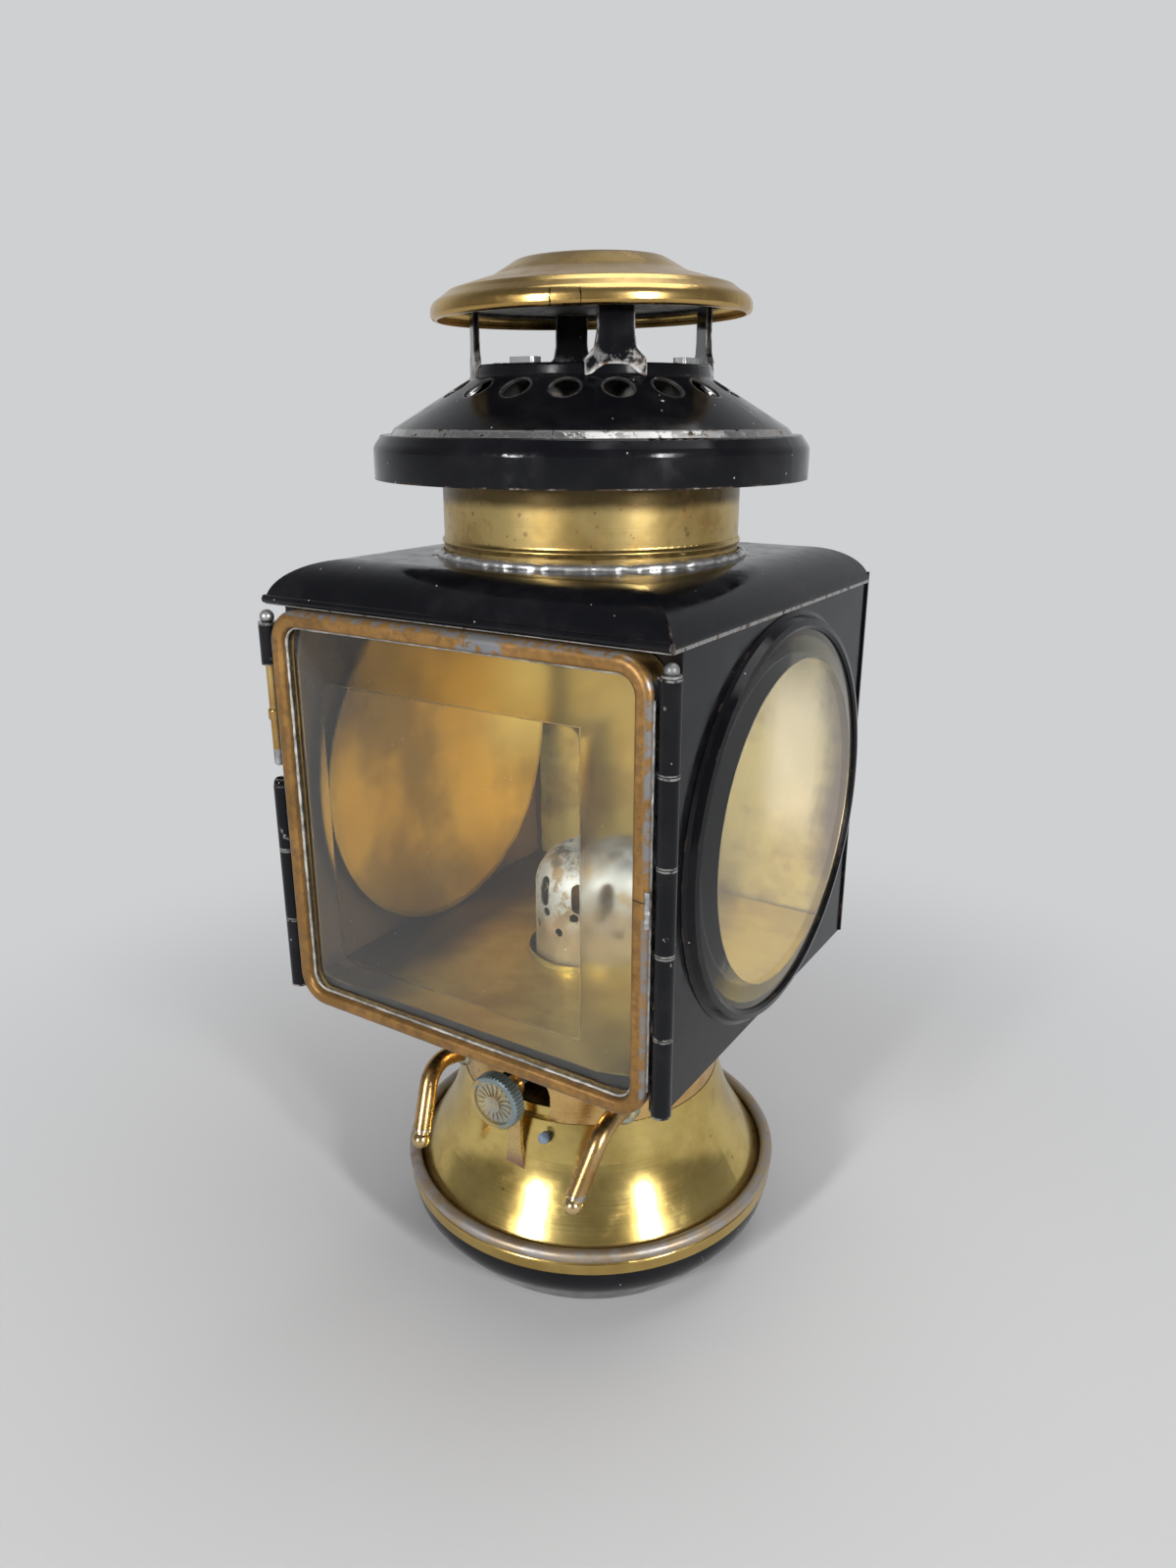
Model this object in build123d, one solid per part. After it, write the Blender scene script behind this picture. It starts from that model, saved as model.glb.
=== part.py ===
"""Oil side lamp for an early motor car: a square sheet-metal lantern on a spun brass oil font.

Millimetres. The origin is the centre of the font's foot, where the lamp stands. +Z is up,
-Y is the front (the square glass door) and +X is the side with the round lens.
"""
from build123d import *
import os
from math import atan2, cos, degrees, radians, sin, sqrt

# Walls and clearances
panel_wall = 0.8          # black steel panels
brass_wall = 0.7          # spun and rolled brass
running_gap = 0.05        # radial, a pin or shaft in its bearing
sliding_gap = 0.3         # radial, the font's spigot in the collar
seat_gap = 0.1            # the collar's edge above the font's shoulder
swing_gap = 0.45          # the door clear of what it swings past
knuckle_gap = 0.3         # between two hinge knuckles, end to end
cut_extra = 5.0           # how far a cutting shape runs past what it cuts

# Oil font
foot_radius = 46.0
skirt_radius = 58.7
skirt_bottom = 21.0
skirt_top = 24.9
pan_round_height = 15.0   # where the bowl's curve meets its upright wall
pan_foot_round = 6.0
pan_side_round = 12.0
bead_wire_radius = 1.9
bead_wire_gap = 0.05      # wire clear of the cone
bead_wire_sink = 0.4      # wire pressed into the skirt's top
cone_foot_radius = 55.4
cone_height = 32.5        # from the skirt's top to the shoulder
cone_hollow = 1.8         # how far the cone's side dips below a straight line
cone_curve_radius = 45.0
cone_shoulder_land = 0.2  # flat of the shoulder outside the collar
skirt_round = 1.2
spigot_height = 4.0
stud_radius = 1.7
stud_height = 2.6
stud_angle = -75.6
stud_drop = 4.0           # stud's centre below the shoulder

# Burner
burner_radius = 15.5
burner_wall = 0.5
burner_height = 65.0      # from the burner's flange to the flame slot
burner_crown = 13.0       # the rounding of its top
burner_plug_radius = 13.0
burner_plug_wall = 1.5
burner_flange_edge = 1.0  # flange outside the burner's tube
burner_flange_wall = 0.8
burner_cup_radius = 12.5
burner_cup_height = 10.5
burner_cup_round = 2.0
socket_edge = 1.5         # socket outside the burner's tube
socket_height = 2.6
socket_depth = 3.0
wick_thickness = 2.0
wick_width = 11.0
wick_tube_gap = 0.3
wick_tube_wall = 0.4
wick_stand = 2.0          # wick above its tube
wick_tube_below_crown = 10.5
wick_tube_tail = 6.0
wick_foot_height = 9.0    # wick's lower end above the ground
flame_slot_margin = 1.6   # round the wick
air_hole_radius = 1.35
air_hole_count = 10
air_hole_rows = (5.0, 10.5)   # below the rounding of the burner's top
air_slot_length = 9.0
air_slot_width = 4.2
air_slot_count = 8
air_slot_rise = 1.0       # above where the rounding starts
seam_angle = 45.0         # seam of the burner's tube, clear of its holes

# Wick raiser
shaft_radius = 1.4
shaft_hole_margin = 1.2   # hole in the burner's tube, round the shaft
shaft_x = 2.0
shaft_past_cup = 1.5
shaft_above_shoulder = 12.1
spur_radius = 4.0
spur_teeth = 12
spur_tooth_height = 0.7
spur_thickness = 1.2
spur_spacing = 5.0
spur_gap = 0.15           # tooth tips clear of the wick
knob_radius = 8.2
knob_thickness = 4.2
knob_stand = 10.2         # knob's back ahead of the collar's side
knob_knurls = 44
knob_knurl_radius = 0.32
knob_edge = 0.5
knob_face_radius = 6.5
knob_face_sink = 1.4
knob_face_wall = 0.7
knob_boss_radius = 2.5
knob_boss_height = 1.9
knob_ribs = 18
knob_rib_width = 0.6
knob_rib_height = 1.1
knob_rib_gap = 0.9        # between a rib's end and the rim
strap_width = 4.4
strap_foot_width = 7.0
strap_taper_height = 10.0
strap_wall = 1.3
strap_stand = 4.8         # strap's face ahead of the collar's side
strap_head_radius = 3.0
strap_sink = 8.9          # strap's foot below where its back meets the cone

# Lantern body
collar_radius = 40.0
collar_height = 34.3
collar_flange = 5.0
slot_half_width = 8.5
slot_above_shaft = 3.6    # headroom over the shaft's axis
body_width = 118.8
body_depth = 116.0
body_height = 112.8
back_corner_rise = 3.0    # the back panel stands above the eaves
back_overhang = 0.6
window_side_band = 6.1
window_end_band = 5.2
floor_lift = 3.0          # inner floor above the bottom plate
floor_inset = 1.2
floor_rim_height = 1.6
floor_hole_gap = 2.0      # round the burner
roof_overhang = 0.8
roof_front_overhang = 6.0
roof_rise = 11.0
roof_land = 2.0           # flat between the neck and the curved sides
lip_wire_radius = 1.1
lip_wire_rise = 0.3       # above the eaves
eave_strip_turn = 2.0     # strip under the roof's front, past the front frame

# Round side lens and reflector
lens_edge_margin = 0.4    # lens ring inside the edge of the panel
lens_ring_width = 4.6
lens_ring_height = 3.0
# Outline of the ring's face: shares of its width from the glass outward, and of its height
lens_ring_outline = ((0.0, 0.83), (0.2, 1.0), (0.55, 0.9), (0.74, 0.3), (1.0, 0.08))
lens_seat = 2.1           # front edge of the glass ahead of the panel
lens_bevel_width = 8.6
lens_bevel_depth = 1.5
lens_lip = 1.2
clamp_ring_width = 3.5
clamp_ring_wall = 0.8
clamp_ring_land = 1.5     # clamp's bearing on the panel
reflector_margin = 0.6    # its flange inside the panels and the floor
reflector_depth = 5.0
reflector_wall = 0.6
reflector_flange = 1.5
reflector_stud_radius = 1.5
reflector_stud_circle = 24.0
reflector_stud_count = 3
reflector_stud_length = 1.2

# Neck, hood and cap
neck_radius = 40.0
neck_height = 22.5
neck_bead_height = 3.8
neck_bead_proud = 0.7
neck_bead_half = 1.1       # half its width
neck_bead_rounds = (0.8, 0.6, 0.8)
hood_radius = 57.6
hood_rim_height = 8.0
hood_below_neck = 2.6
hood_shoulder_rise = 3.0
hood_shoulder_out = 3.6   # rounded edge outside the ring
hood_ring_step = 1.3      # flat outside the ring
hood_ring_rise = 1.6
hood_ring_radius = 51.8
hood_cone_rise = 12.2
hood_mouth_radius = 31.2
hood_mouth_height = 3.0
hood_mouth_lip = 5.0
hood_mouth_flare = 0.6
hood_rounds = (3.0, 1.2, 0.0, 0.9, 1.2, 0.9)
hood_hole_radius = 3.6
hood_hole_count = 18
hood_hole_out = 5.2       # the circle of holes outside the mouth
hood_hole_start = -57.6   # midway between two holes
hood_deck_slots = 12
hood_deck_slot_radius = 3.0
chimney_gap = 2.2         # between the chimney and the mouth's lip
chimney_foot = 3.0        # chimney's lower end above the eaves
post_width = 9.0
post_foot_width = 15.0
post_foot_height = 6.5
post_foot_sink = 3.0      # bent into the mouth's rounded edge
post_toe_height = 0.6
post_ankle = 0.6          # wider than the strap, half way up the foot
post_into_baffle = 1.0
post_wall = 1.6
post_angle = -47.0
post_count = 4
tab_width = 7.4
tab_height = 1.4
tab_depth = 3.8
tab_outside_posts = 0.8
tab_corner = 0.8
cap_gap = 11.5            # from the hood's mouth to the cap's rim
cap_radius = 41.4
cap_rim_height = 3.6
cap_step_radius = 36.6
cap_step_rise = 2.2
cap_ledge_width = 1.4
cap_ledge_rise = 1.1
cap_crown_run = 6.5       # curved side of the crown, out and down
cap_crown_fall = 5.0
cap_crown_radius = 19.0
cap_height = 15.2
cap_crown_dome = 1.2
cap_curl = 1.6
cap_rounds = (1.2, 3.0, 1.2, 1.2, 9.0, 4.0, 3.0)
cap_tilt = 1.2            # the cap has settled a little to one side
cap_tilt_axis_angle = -57.6
baffle_radius = 35.0
baffle_above_rim = 2.6
baffle_height = 1.4
baffle_round = 1.0
baffle_wall = 0.6

# Draught tubes under the door
tube_radius = 2.75
tube_bore = 1.9
tube_angle = 45.5         # hole in the collar, round from the front
tube_above_shoulder = 5.0
tube_run = (2.0, -13.9, 2.8)      # from the collar to the bend, for the right-hand tube
tube_fall = (-3.0, -9.4, -18.0)   # from the bend to the tip
tube_bend_radius = 9.0
tube_root = 3.0           # starts inside the collar
tip_neck_radius = 2.1
tip_neck_length = 0.9
tip_ball_radius = 2.7
tip_ball_drop = 1.5       # ball's centre below the neck's end
tip_hole_radius = 0.9
flange_radius = 4.6
flange_length = 2.4
flange_round = 1.8

# Hinge and latch
hinge_out = 0.6           # hinge axis outside the body's side
hinge_forward = 6.0       # hinge axis ahead of the body's front
knuckle_radius = 2.45
knuckle_count = 5
knuckle_bottom = 1.7      # lowest knuckle above the body's bottom
hinge_top_drop = 4.6      # top knuckle below the eaves
hinge_pin_radius = 1.4
pin_head_radius = 1.7
pin_head_rise = 0.9
pin_end_length = 0.4      # below the lowest knuckle
pin_washer_radius = 2.25
pin_washer_height = 0.5
leaf_wall = 0.9
leaf_root = 1.7           # leaves start inside the barrels' walls
latch_barrel_length = 11.3
latch_bolt_radius = 1.5
latch_open_gap = 3.95     # raised bolt's tip above the keeper's mouth
latch_tip_length = 4.5
latch_grip_radius = 1.95
latch_grip_length = 3.0
latch_grip_rise = 12.7    # grip above the bolt's tip
latch_edge = 0.4          # rounding of the grip and slope of the tip
latch_engaged = 10.0      # bolt held in the barrel when raised
latch_ball_radius = 1.9
latch_ball_sink = 0.6
latch_mouth_drop = 2.4    # keeper's barrel below its knuckle's top
mouth_radius = 2.3
mouth_rise = 0.4
mouth_sink = 1.0          # into the keeper's barrel
mouth_height = 2.0

# Door
door_drop = 0.9           # door hangs below the body's bottom
door_front_depth = 9.1    # bezel's front ahead of the body's front
door_side_gap = 0.65      # door beside the hinge barrel
bezel_band = 4.2
bezel_depth = 2.5
bezel_corner = 9.0
bezel_outer_round = 1.9
bezel_inner_round = 1.0
frame_wall = 0.8
frame_depth = 6.2
glass_lip = 0.9           # glass under the bezel
glass_edge = 3.0
glass_bevel_width = 13.4
glass_bevel_depth = 2.3
glass_foot_gap = 0.15     # inside the bezel
glass_land_corner = 3.0
retainer_wall = 0.7
retainer_inside = 0.6
screw_radius = 1.3
screw_head_height = 0.8
screw_inset = 1.6         # from the frame's inside
screw_slit = 0.4

# Bracket socket on the back
socket_bore_radius = 8.0
socket_wall = 2.6
socket_tube_length = 46.0
socket_centre_height = 55.0   # above the body's bottom
bracket_width = 44.0
bracket_height = 60.0
bracket_wall = 2.0
bracket_corner = 5.0
socket_stand = 1.5        # socket tube clear of the bracket plate
web_width = 9.0
bracket_rivet_radius = 2.4
bracket_rivet_height = 1.4
bracket_rivet_inset = 6.0
bracket_rivet_round = 1.0
set_screw_radius = 3.0
set_screw_stand = 6.0
set_screw_head = 8.0
set_screw_head_height = 4.0
set_screw_head_round = 1.0
set_screw_gap = 0.2       # its end short of the bore

# Heights that follow from the sizes above
burner_flange_radius = burner_radius + burner_flange_edge
socket_radius = burner_radius + socket_edge
shoulder_z = skirt_top + cone_height
spigot_radius = collar_radius - brass_wall - sliding_gap
font_top_z = shoulder_z + spigot_height
socket_top_z = font_top_z + socket_height
flange_top_z = socket_top_z + burner_flange_wall
crown_z = flange_top_z + burner_height
wick_x = shaft_x - spur_radius - spur_gap - wick_thickness / 2
wick_tube_top_z = crown_z - wick_tube_below_crown
shaft_z = shoulder_z + shaft_above_shoulder
collar_bottom_z = shoulder_z + seat_gap
body_bottom_z = collar_bottom_z + collar_height
eaves_z = body_bottom_z + body_height
floor_z = body_bottom_z + panel_wall + floor_lift
body_front = -body_depth / 2
body_back = body_depth / 2
body_side = body_width / 2
mid_z = (body_bottom_z + eaves_z) / 2
panel_half = min(body_depth, body_height) / 2
roof_side = body_side + roof_overhang
roof_front = body_front - roof_front_overhang
roof_top_z = eaves_z + roof_rise
neck_top_z = roof_top_z + neck_height
hood_bottom_z = neck_top_z - hood_below_neck
hood_ring_z = hood_bottom_z + hood_rim_height + hood_shoulder_rise + hood_ring_rise
hood_mouth_z = hood_ring_z + hood_cone_rise + hood_mouth_height
cap_rim_z = hood_mouth_z + cap_gap
post_radius = hood_mouth_radius - post_wall
chimney_radius = hood_mouth_radius - hood_mouth_lip - chimney_gap
hood_hole_circle = hood_mouth_radius + hood_hole_out
knob_front_y = -collar_radius - knob_stand - knob_thickness
strap_y = -collar_radius - strap_stand

# Door and hinge places
hinge_x = body_side + hinge_out
hinge_y = body_front - hinge_forward
knuckle_base_z = body_bottom_z + knuckle_bottom
knuckle_length = (body_height - knuckle_bottom - hinge_top_drop) / knuckle_count
hinge_top_z = knuckle_base_z + knuckle_length * knuckle_count
door_half = hinge_x - knuckle_radius - door_side_gap
door_bottom_z = body_bottom_z - door_drop
door_top_z = eaves_z - swing_gap
door_mid_z = (door_bottom_z + door_top_z) / 2
door_half_height = (door_top_z - door_bottom_z) / 2
bezel_front = body_front - door_front_depth
bezel_back = bezel_front + bezel_depth
glass_back = bezel_back + glass_edge


def sheet_section(path, wall, normal):
    """Cross-section of a sheet whose wall lies to the left of a path, seen against the normal."""
    along = path.tangent_at(0)
    probe = path.position_at(0) + along * (wall / 4) + normal.cross(along) * (wall / 2)
    for side in (Side.LEFT, Side.RIGHT):
        section = Face(path.offset_2d(wall, kind=Kind.INTERSECTION, side=side, closed=True))
        if section.is_inside(probe):
            return section
    raise ValueError("no wall on the wanted side")


def spun(points, radii, wall):
    """Sheet turned about the lamp's axis, from (radius, height) points up its outer side."""
    path = FilletPolyline(*[(r, 0, z) for r, z in points], radius=radii)
    return revolve(sheet_section(Wire(path.edges()), wall, Vector(0, -1, 0)), Axis.Z)


def post(x, y, radius, low, high):
    """Upright round bar."""
    return Pos(x, y, low) * Cylinder(radius, high - low, align=(Align.CENTER, Align.CENTER, Align.MIN))


def tube(x, y, radius, bore, low, high):
    return post(x, y, radius, low, high) - post(x, y, bore, low - cut_extra, high + cut_extra)


def block(x0, x1, y0, y1, z0, z1):
    """Box from its lowest to its highest corner."""
    corner = (Align.MIN, Align.MIN, Align.MIN)
    return Pos(x0, y0, z0) * Box(x1 - x0, y1 - y0, z1 - z0, align=corner)


def across(y0, y1, x, z, radius):
    """Round bar along the lamp's front-to-back line."""
    bar = Cylinder(radius, y1 - y0, align=(Align.CENTER, Align.CENTER, Align.MIN))
    return Pos(x, y0, z) * Rot(-90, 0, 0) * bar


def sideways(x0, x1, y, z, radius):
    """Round bar from side to side."""
    bar = Cylinder(radius, x1 - x0, align=(Align.CENTER, Align.CENTER, Align.MIN))
    return Pos(x0, y, z) * Rot(0, 90, 0) * bar


def door_slab(half, half_height, corner, y0, y1):
    """Rounded square slab standing in the door's plane."""
    outline = Plane.XZ.offset(-y0) * RectangleRounded(2 * half, 2 * half_height, corner)
    return Pos(0, 0, door_mid_z) * extrude(outline, amount=-(y1 - y0))


def group(solids):
    return Compound(children=list(solids))


# Font


def make_font_cone():
    foot = (cone_foot_radius, skirt_top)
    middle = ((cone_foot_radius + spigot_radius) / 2 - cone_hollow, skirt_top + cone_height / 2)
    shoulder = (collar_radius + cone_shoulder_land, shoulder_z)
    points = [(skirt_radius, skirt_bottom), (skirt_radius, skirt_top), foot, middle, shoulder]
    points += [(spigot_radius, shoulder_z), (spigot_radius, font_top_z)]
    return spun(points, [skirt_round, skirt_round, cone_curve_radius, 0, 0], brass_wall)


def make_bead_ring(cone):
    centre = cone_foot_radius + bead_wire_radius + bead_wire_gap
    height = skirt_top + bead_wire_radius - bead_wire_sink
    wire = Pos(centre, 0, height) * (Plane.XZ * Circle(bead_wire_radius))
    return revolve(wire, Axis.Z) - cone


def make_font_pan(cone):
    inside_skirt = skirt_radius - brass_wall
    top = skirt_top - brass_wall
    points = [(0, 0), (foot_radius, 0), (inside_skirt, pan_round_height), (inside_skirt, top)]
    return spun(points, [pan_foot_round, pan_side_round], panel_wall) - cone


def make_font_top():
    inside = spigot_radius - brass_wall
    return tube(0, 0, inside, burner_plug_radius, font_top_z - brass_wall, font_top_z)


def make_burner_socket():
    return tube(0, 0, socket_radius, burner_plug_radius, font_top_z, socket_top_z)


def cone_radius_at(z):
    """Radius of the cone's outside at a height, as a straight line between foot and shoulder."""
    share = (z - skirt_top) / cone_height
    return cone_foot_radius + (collar_radius - cone_foot_radius) * share


def cone_height_at(radius):
    share = (cone_foot_radius - radius) / (cone_foot_radius - collar_radius)
    return skirt_top + cone_height * share


def make_locating_stud(cone):
    z = shoulder_z - stud_drop
    lean = degrees(atan2(cone_foot_radius - collar_radius, cone_height))
    bar = Cylinder(stud_radius, 2 * stud_height)
    placed = Rot(0, 0, stud_angle) * Pos(cone_radius_at(z), 0, z) * Rot(0, 90 - lean, 0) * bar
    corners = [(0, skirt_top), (cone_foot_radius, skirt_top), (collar_radius, shoulder_z), (0, shoulder_z)]
    inner = spun(corners, [0, 0], brass_wall)
    return keep_outer(placed - cone - inner, Vector(0, 0, z))


def keep_outer(shape, centre):
    """The solid of a cut shape that lies furthest from a point."""
    return max(shape.solids(), key=lambda s: (s.center() - centre).length)


def make_shaft_strap(cone):
    x = shaft_x
    low = cone_height_at(-strap_y - strap_wall) - strap_sink
    head_z = shaft_z
    outline = Polyline(
        (x - strap_foot_width / 2, low), (x + strap_foot_width / 2, low),
        (x + strap_width / 2, low + strap_taper_height), (x + strap_width / 2, head_z),
        (x - strap_width / 2, head_z), (x - strap_width / 2, low + strap_taper_height), close=True)
    plate = extrude(Plane.XZ.offset(-strap_y) * Face(Wire(outline.edges())), amount=-strap_wall)
    plate += across(strap_y, strap_y + strap_wall, x, head_z, strap_head_radius)
    plate -= across(strap_y - cut_extra, strap_y + cut_extra, x, head_z, shaft_radius + running_gap)
    return max((plate - cone).solids(), key=lambda s: s.volume)


# Burner


def make_burner_base():
    plug_bore = burner_plug_radius - burner_plug_wall
    plug = tube(0, 0, burner_plug_radius, plug_bore, font_top_z - socket_depth, socket_top_z)
    flange = tube(0, 0, burner_flange_radius, burner_cup_radius - brass_wall, socket_top_z, flange_top_z)
    cup = spun([(burner_cup_radius, socket_top_z), (burner_cup_radius, flange_top_z + burner_cup_height),
                (0, flange_top_z + burner_cup_height)], [burner_cup_round], brass_wall)
    base = plug + flange + cup
    base -= wick_tube_block()
    base -= across(-burner_radius, burner_radius, shaft_x, shaft_z, shaft_radius + running_gap)
    return base


def wick_tube_block():
    half_x = wick_thickness / 2 + wick_tube_gap + wick_tube_wall
    half_y = wick_width / 2 + wick_tube_gap + wick_tube_wall
    low = font_top_z - socket_depth - wick_tube_tail
    return block(wick_x - half_x, wick_x + half_x, -half_y, half_y, low, wick_tube_top_z)


def make_wick_tube():
    half_x = wick_thickness / 2 + wick_tube_gap
    half_y = wick_width / 2 + wick_tube_gap
    low = font_top_z - socket_depth - wick_tube_tail
    bore = block(wick_x - half_x, wick_x + half_x, -half_y, half_y,
                 low - cut_extra, wick_tube_top_z + cut_extra)
    window_half = spur_spacing / 2 + spur_thickness
    window = block(wick_x, shaft_x, -window_half, window_half, shaft_z - spur_radius, shaft_z + spur_radius)
    return wick_tube_block() - bore - window


def make_burner_tube():
    outline = [(burner_radius, flange_top_z), (burner_radius, crown_z), (0, crown_z)]
    shell = Rot(0, 0, seam_angle) * spun(outline, [burner_crown], burner_wall)
    flame_half_x = wick_thickness / 2 + flame_slot_margin
    flame_half_y = wick_width / 2 + flame_slot_margin
    cuts = [block(wick_x - flame_half_x, wick_x + flame_half_x, -flame_half_y, flame_half_y,
                  crown_z - burner_crown / 2, crown_z + cut_extra)]
    cuts.append(across(-burner_radius - cut_extra, 0, shaft_x, shaft_z, shaft_radius + shaft_hole_margin))
    low, high = burner_radius - cut_extra, burner_radius + cut_extra
    for row, drop in enumerate(air_hole_rows):
        for i in range(air_hole_count):
            turn = 360 * (i + row / 2) / air_hole_count
            height = crown_z - burner_crown - drop
            cuts.append(Rot(0, 0, turn) * sideways(low, high, 0, height, air_hole_radius))
    half = air_slot_width / 2
    reach = air_slot_length / 2 - half
    slot = sideways(low, high, 0, -reach, half) + sideways(low, high, 0, reach, half)
    slot += block(low, high, -half, half, -reach, reach)
    for i in range(air_slot_count):
        turn = 360 * (i + 0.5) / air_slot_count
        cuts.append(Rot(0, 0, turn) * Pos(0, 0, crown_z - burner_crown + air_slot_rise) * slot)
    for cut in cuts:
        shell -= cut
    return shell


# Wick raiser


def make_wick():
    return block(wick_x - wick_thickness / 2, wick_x + wick_thickness / 2, -wick_width / 2, wick_width / 2,
                 wick_foot_height, wick_tube_top_z + wick_stand)


def make_wick_shaft():
    return across(knob_front_y + knob_thickness / 2, burner_cup_radius + shaft_past_cup,
                  shaft_x, shaft_z, shaft_radius)


def make_spur_wheels():
    wheels = []
    for side in (-1, 1):
        y0 = side * spur_spacing / 2 - spur_thickness / 2
        wheel = across(y0, y0 + spur_thickness, shaft_x, shaft_z, spur_radius)
        for i in range(spur_teeth):
            angle = radians(360 * (i + 0.5) / spur_teeth)
            notch = across(y0 - cut_extra, y0 + cut_extra, shaft_x + spur_radius * cos(angle),
                           shaft_z + spur_radius * sin(angle), spur_tooth_height)
            wheel -= notch
        wheels.append(wheel - across(y0 - cut_extra, y0 + cut_extra, shaft_x, shaft_z, shaft_radius))
    return group(wheels)


def make_knob_rim():
    back = knob_front_y + knob_thickness
    rim = across(knob_front_y, back, shaft_x, shaft_z, knob_radius)
    rim = chamfer(rim.edges().filter_by(GeomType.CIRCLE), knob_edge)
    rim -= across(knob_front_y - cut_extra, knob_front_y + knob_face_sink, shaft_x, shaft_z, knob_face_radius)
    rim -= across(knob_front_y + knob_thickness / 2, back + cut_extra, shaft_x, shaft_z, shaft_radius)
    for i in range(knob_knurls):
        angle = radians(360 * i / knob_knurls)
        rim -= across(knob_front_y - cut_extra, back + cut_extra, shaft_x + knob_radius * cos(angle),
                      shaft_z + knob_radius * sin(angle), knob_knurl_radius)
    return rim


def make_knob_face():
    seat = knob_front_y + knob_face_sink
    face = across(seat - knob_face_wall, seat, shaft_x, shaft_z, knob_face_radius)
    face += across(seat - knob_boss_height, seat, shaft_x, shaft_z, knob_boss_radius)
    half = knob_rib_width / 2
    rib = block(knob_boss_radius / 2, knob_face_radius - knob_rib_gap, -half, half, 0, knob_rib_height)
    for i in range(knob_ribs):
        face += Pos(shaft_x, seat, shaft_z) * Rot(90, 0, 0) * Rot(0, 0, 360 * i / knob_ribs) * rib
    return face


# Lantern body


def make_collar():
    plate_top = body_bottom_z + panel_wall
    shell = spun([(collar_radius, collar_bottom_z), (collar_radius, plate_top),
                  (collar_radius + collar_flange, plate_top)], [0], brass_wall)
    arch_z = shaft_z + slot_above_shaft - slot_half_width
    arch = across(-collar_radius - cut_extra, -collar_radius / 2, shaft_x, arch_z, slot_half_width)
    gate = block(shaft_x - slot_half_width, shaft_x + slot_half_width, -collar_radius - cut_extra,
                 -collar_radius / 2, collar_bottom_z - cut_extra, arch_z)
    return shell - arch - gate


def make_bottom_plate():
    plate = block(-body_side + panel_wall, body_side - panel_wall, body_front, body_back - panel_wall,
                  body_bottom_z, body_bottom_z + panel_wall)
    return plate - post(0, 0, collar_radius, body_bottom_z - cut_extra, body_bottom_z + cut_extra)


def side_panel(side):
    low, high = sorted((side * body_side, side * (body_side - panel_wall)))
    return block(low, high, body_front, body_back - panel_wall, body_bottom_z, eaves_z)


def make_side_panel_right():
    low, high = body_side - cut_extra, body_side + cut_extra
    return side_panel(1) - sideways(low, high, 0, mid_z, lens_glass_radius())


def make_back_panel():
    return block(-body_side - back_overhang, body_side + back_overhang, body_back - panel_wall, body_back,
                 body_bottom_z, eaves_z + back_corner_rise)


def make_front_frame():
    inner = body_side - panel_wall
    plate = block(-inner, inner, body_front, body_front + panel_wall, body_bottom_z + panel_wall, eaves_z)
    half = body_side - window_side_band
    window = block(-half, half, body_front - cut_extra, body_front + cut_extra,
                   body_bottom_z + window_end_band, eaves_z - window_end_band)
    return plate - window


def make_floor_plate():
    half_x = body_side - panel_wall - floor_inset
    front = body_front + panel_wall + floor_inset
    back = body_back - panel_wall - floor_inset
    low = body_bottom_z + panel_wall
    tray = block(-half_x, half_x, front, back, low, floor_z)
    tray -= block(-half_x + brass_wall, half_x - brass_wall, front + brass_wall, back - brass_wall,
                  low - cut_extra, floor_z - brass_wall)
    hole = burner_radius + floor_hole_gap
    tray += post(0, 0, hole + brass_wall, floor_z - brass_wall, floor_z + floor_rim_height)
    return tray - post(0, 0, hole, low - cut_extra, floor_z + cut_extra)


def roof_solid(inset):
    """Roof block with curved sides that meet in mitres, drawn in by the given inset."""
    cove_x = roof_side - neck_radius - roof_land
    cove = min(cove_x, body_back - neck_radius - roof_land)
    rise = roof_rise - inset
    low = eaves_z - (cut_extra if inset else 0)

    def profile(start, end):
        reach = cove - inset
        a, b = start + inset, end - inset
        rise_left = EllipticalCenterArc((a + reach, eaves_z), reach, rise, 90, arc_size=90)
        rise_right = EllipticalCenterArc((b - reach, eaves_z), reach, rise, 0, arc_size=90)
        lines = [rise_left, rise_right, Line((a + reach, eaves_z + rise), (b - reach, eaves_z + rise))]
        if inset:
            lines += [Line((a, eaves_z), (a, low)), Line((b, eaves_z), (b, low))]
        lines.append(Line((a, low), (b, low)))
        return Face(Wire([line.edges()[0] for line in lines]))

    reach = 2 * (roof_side + body_depth)
    end_on = extrude(Plane.XZ * profile(-roof_side, roof_side), amount=reach / 2, both=True)
    side_on = extrude(Plane.YZ * profile(roof_front, body_back - panel_wall), amount=reach / 2, both=True)
    return end_on & side_on


def make_roof():
    return roof_solid(0) - roof_solid(panel_wall) - post(0, 0, neck_radius, eaves_z, neck_top_z)


def make_roof_lip():
    height = eaves_z + lip_wire_radius + lip_wire_rise
    wire = sideways(-roof_side, roof_side, roof_front, height, lip_wire_radius)
    solid = roof_solid(0)
    return max((wire - solid).solids(), key=lambda s: s.volume)


def make_eave_strip(roof):
    inner = roof_side - panel_wall
    strip = block(-inner, inner, roof_front + panel_wall, body_front + panel_wall + eave_strip_turn,
                  eaves_z, eaves_z + panel_wall)
    return max((strip - roof).solids(), key=lambda s: s.volume)


def lens_ring_outer():
    return panel_half - lens_edge_margin


def lens_glass_radius():
    return lens_ring_outer() - lens_ring_width + lens_lip


def about_x(points, x0):
    """Ring about the round window's axis, from (radius, distance outward from x0) corners."""
    face = Face(Wire(Polyline(*[(x0 + d, r, 0) for r, d in points], close=True).edges()))
    return Pos(0, 0, mid_z) * revolve(face, Axis.X)


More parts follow.
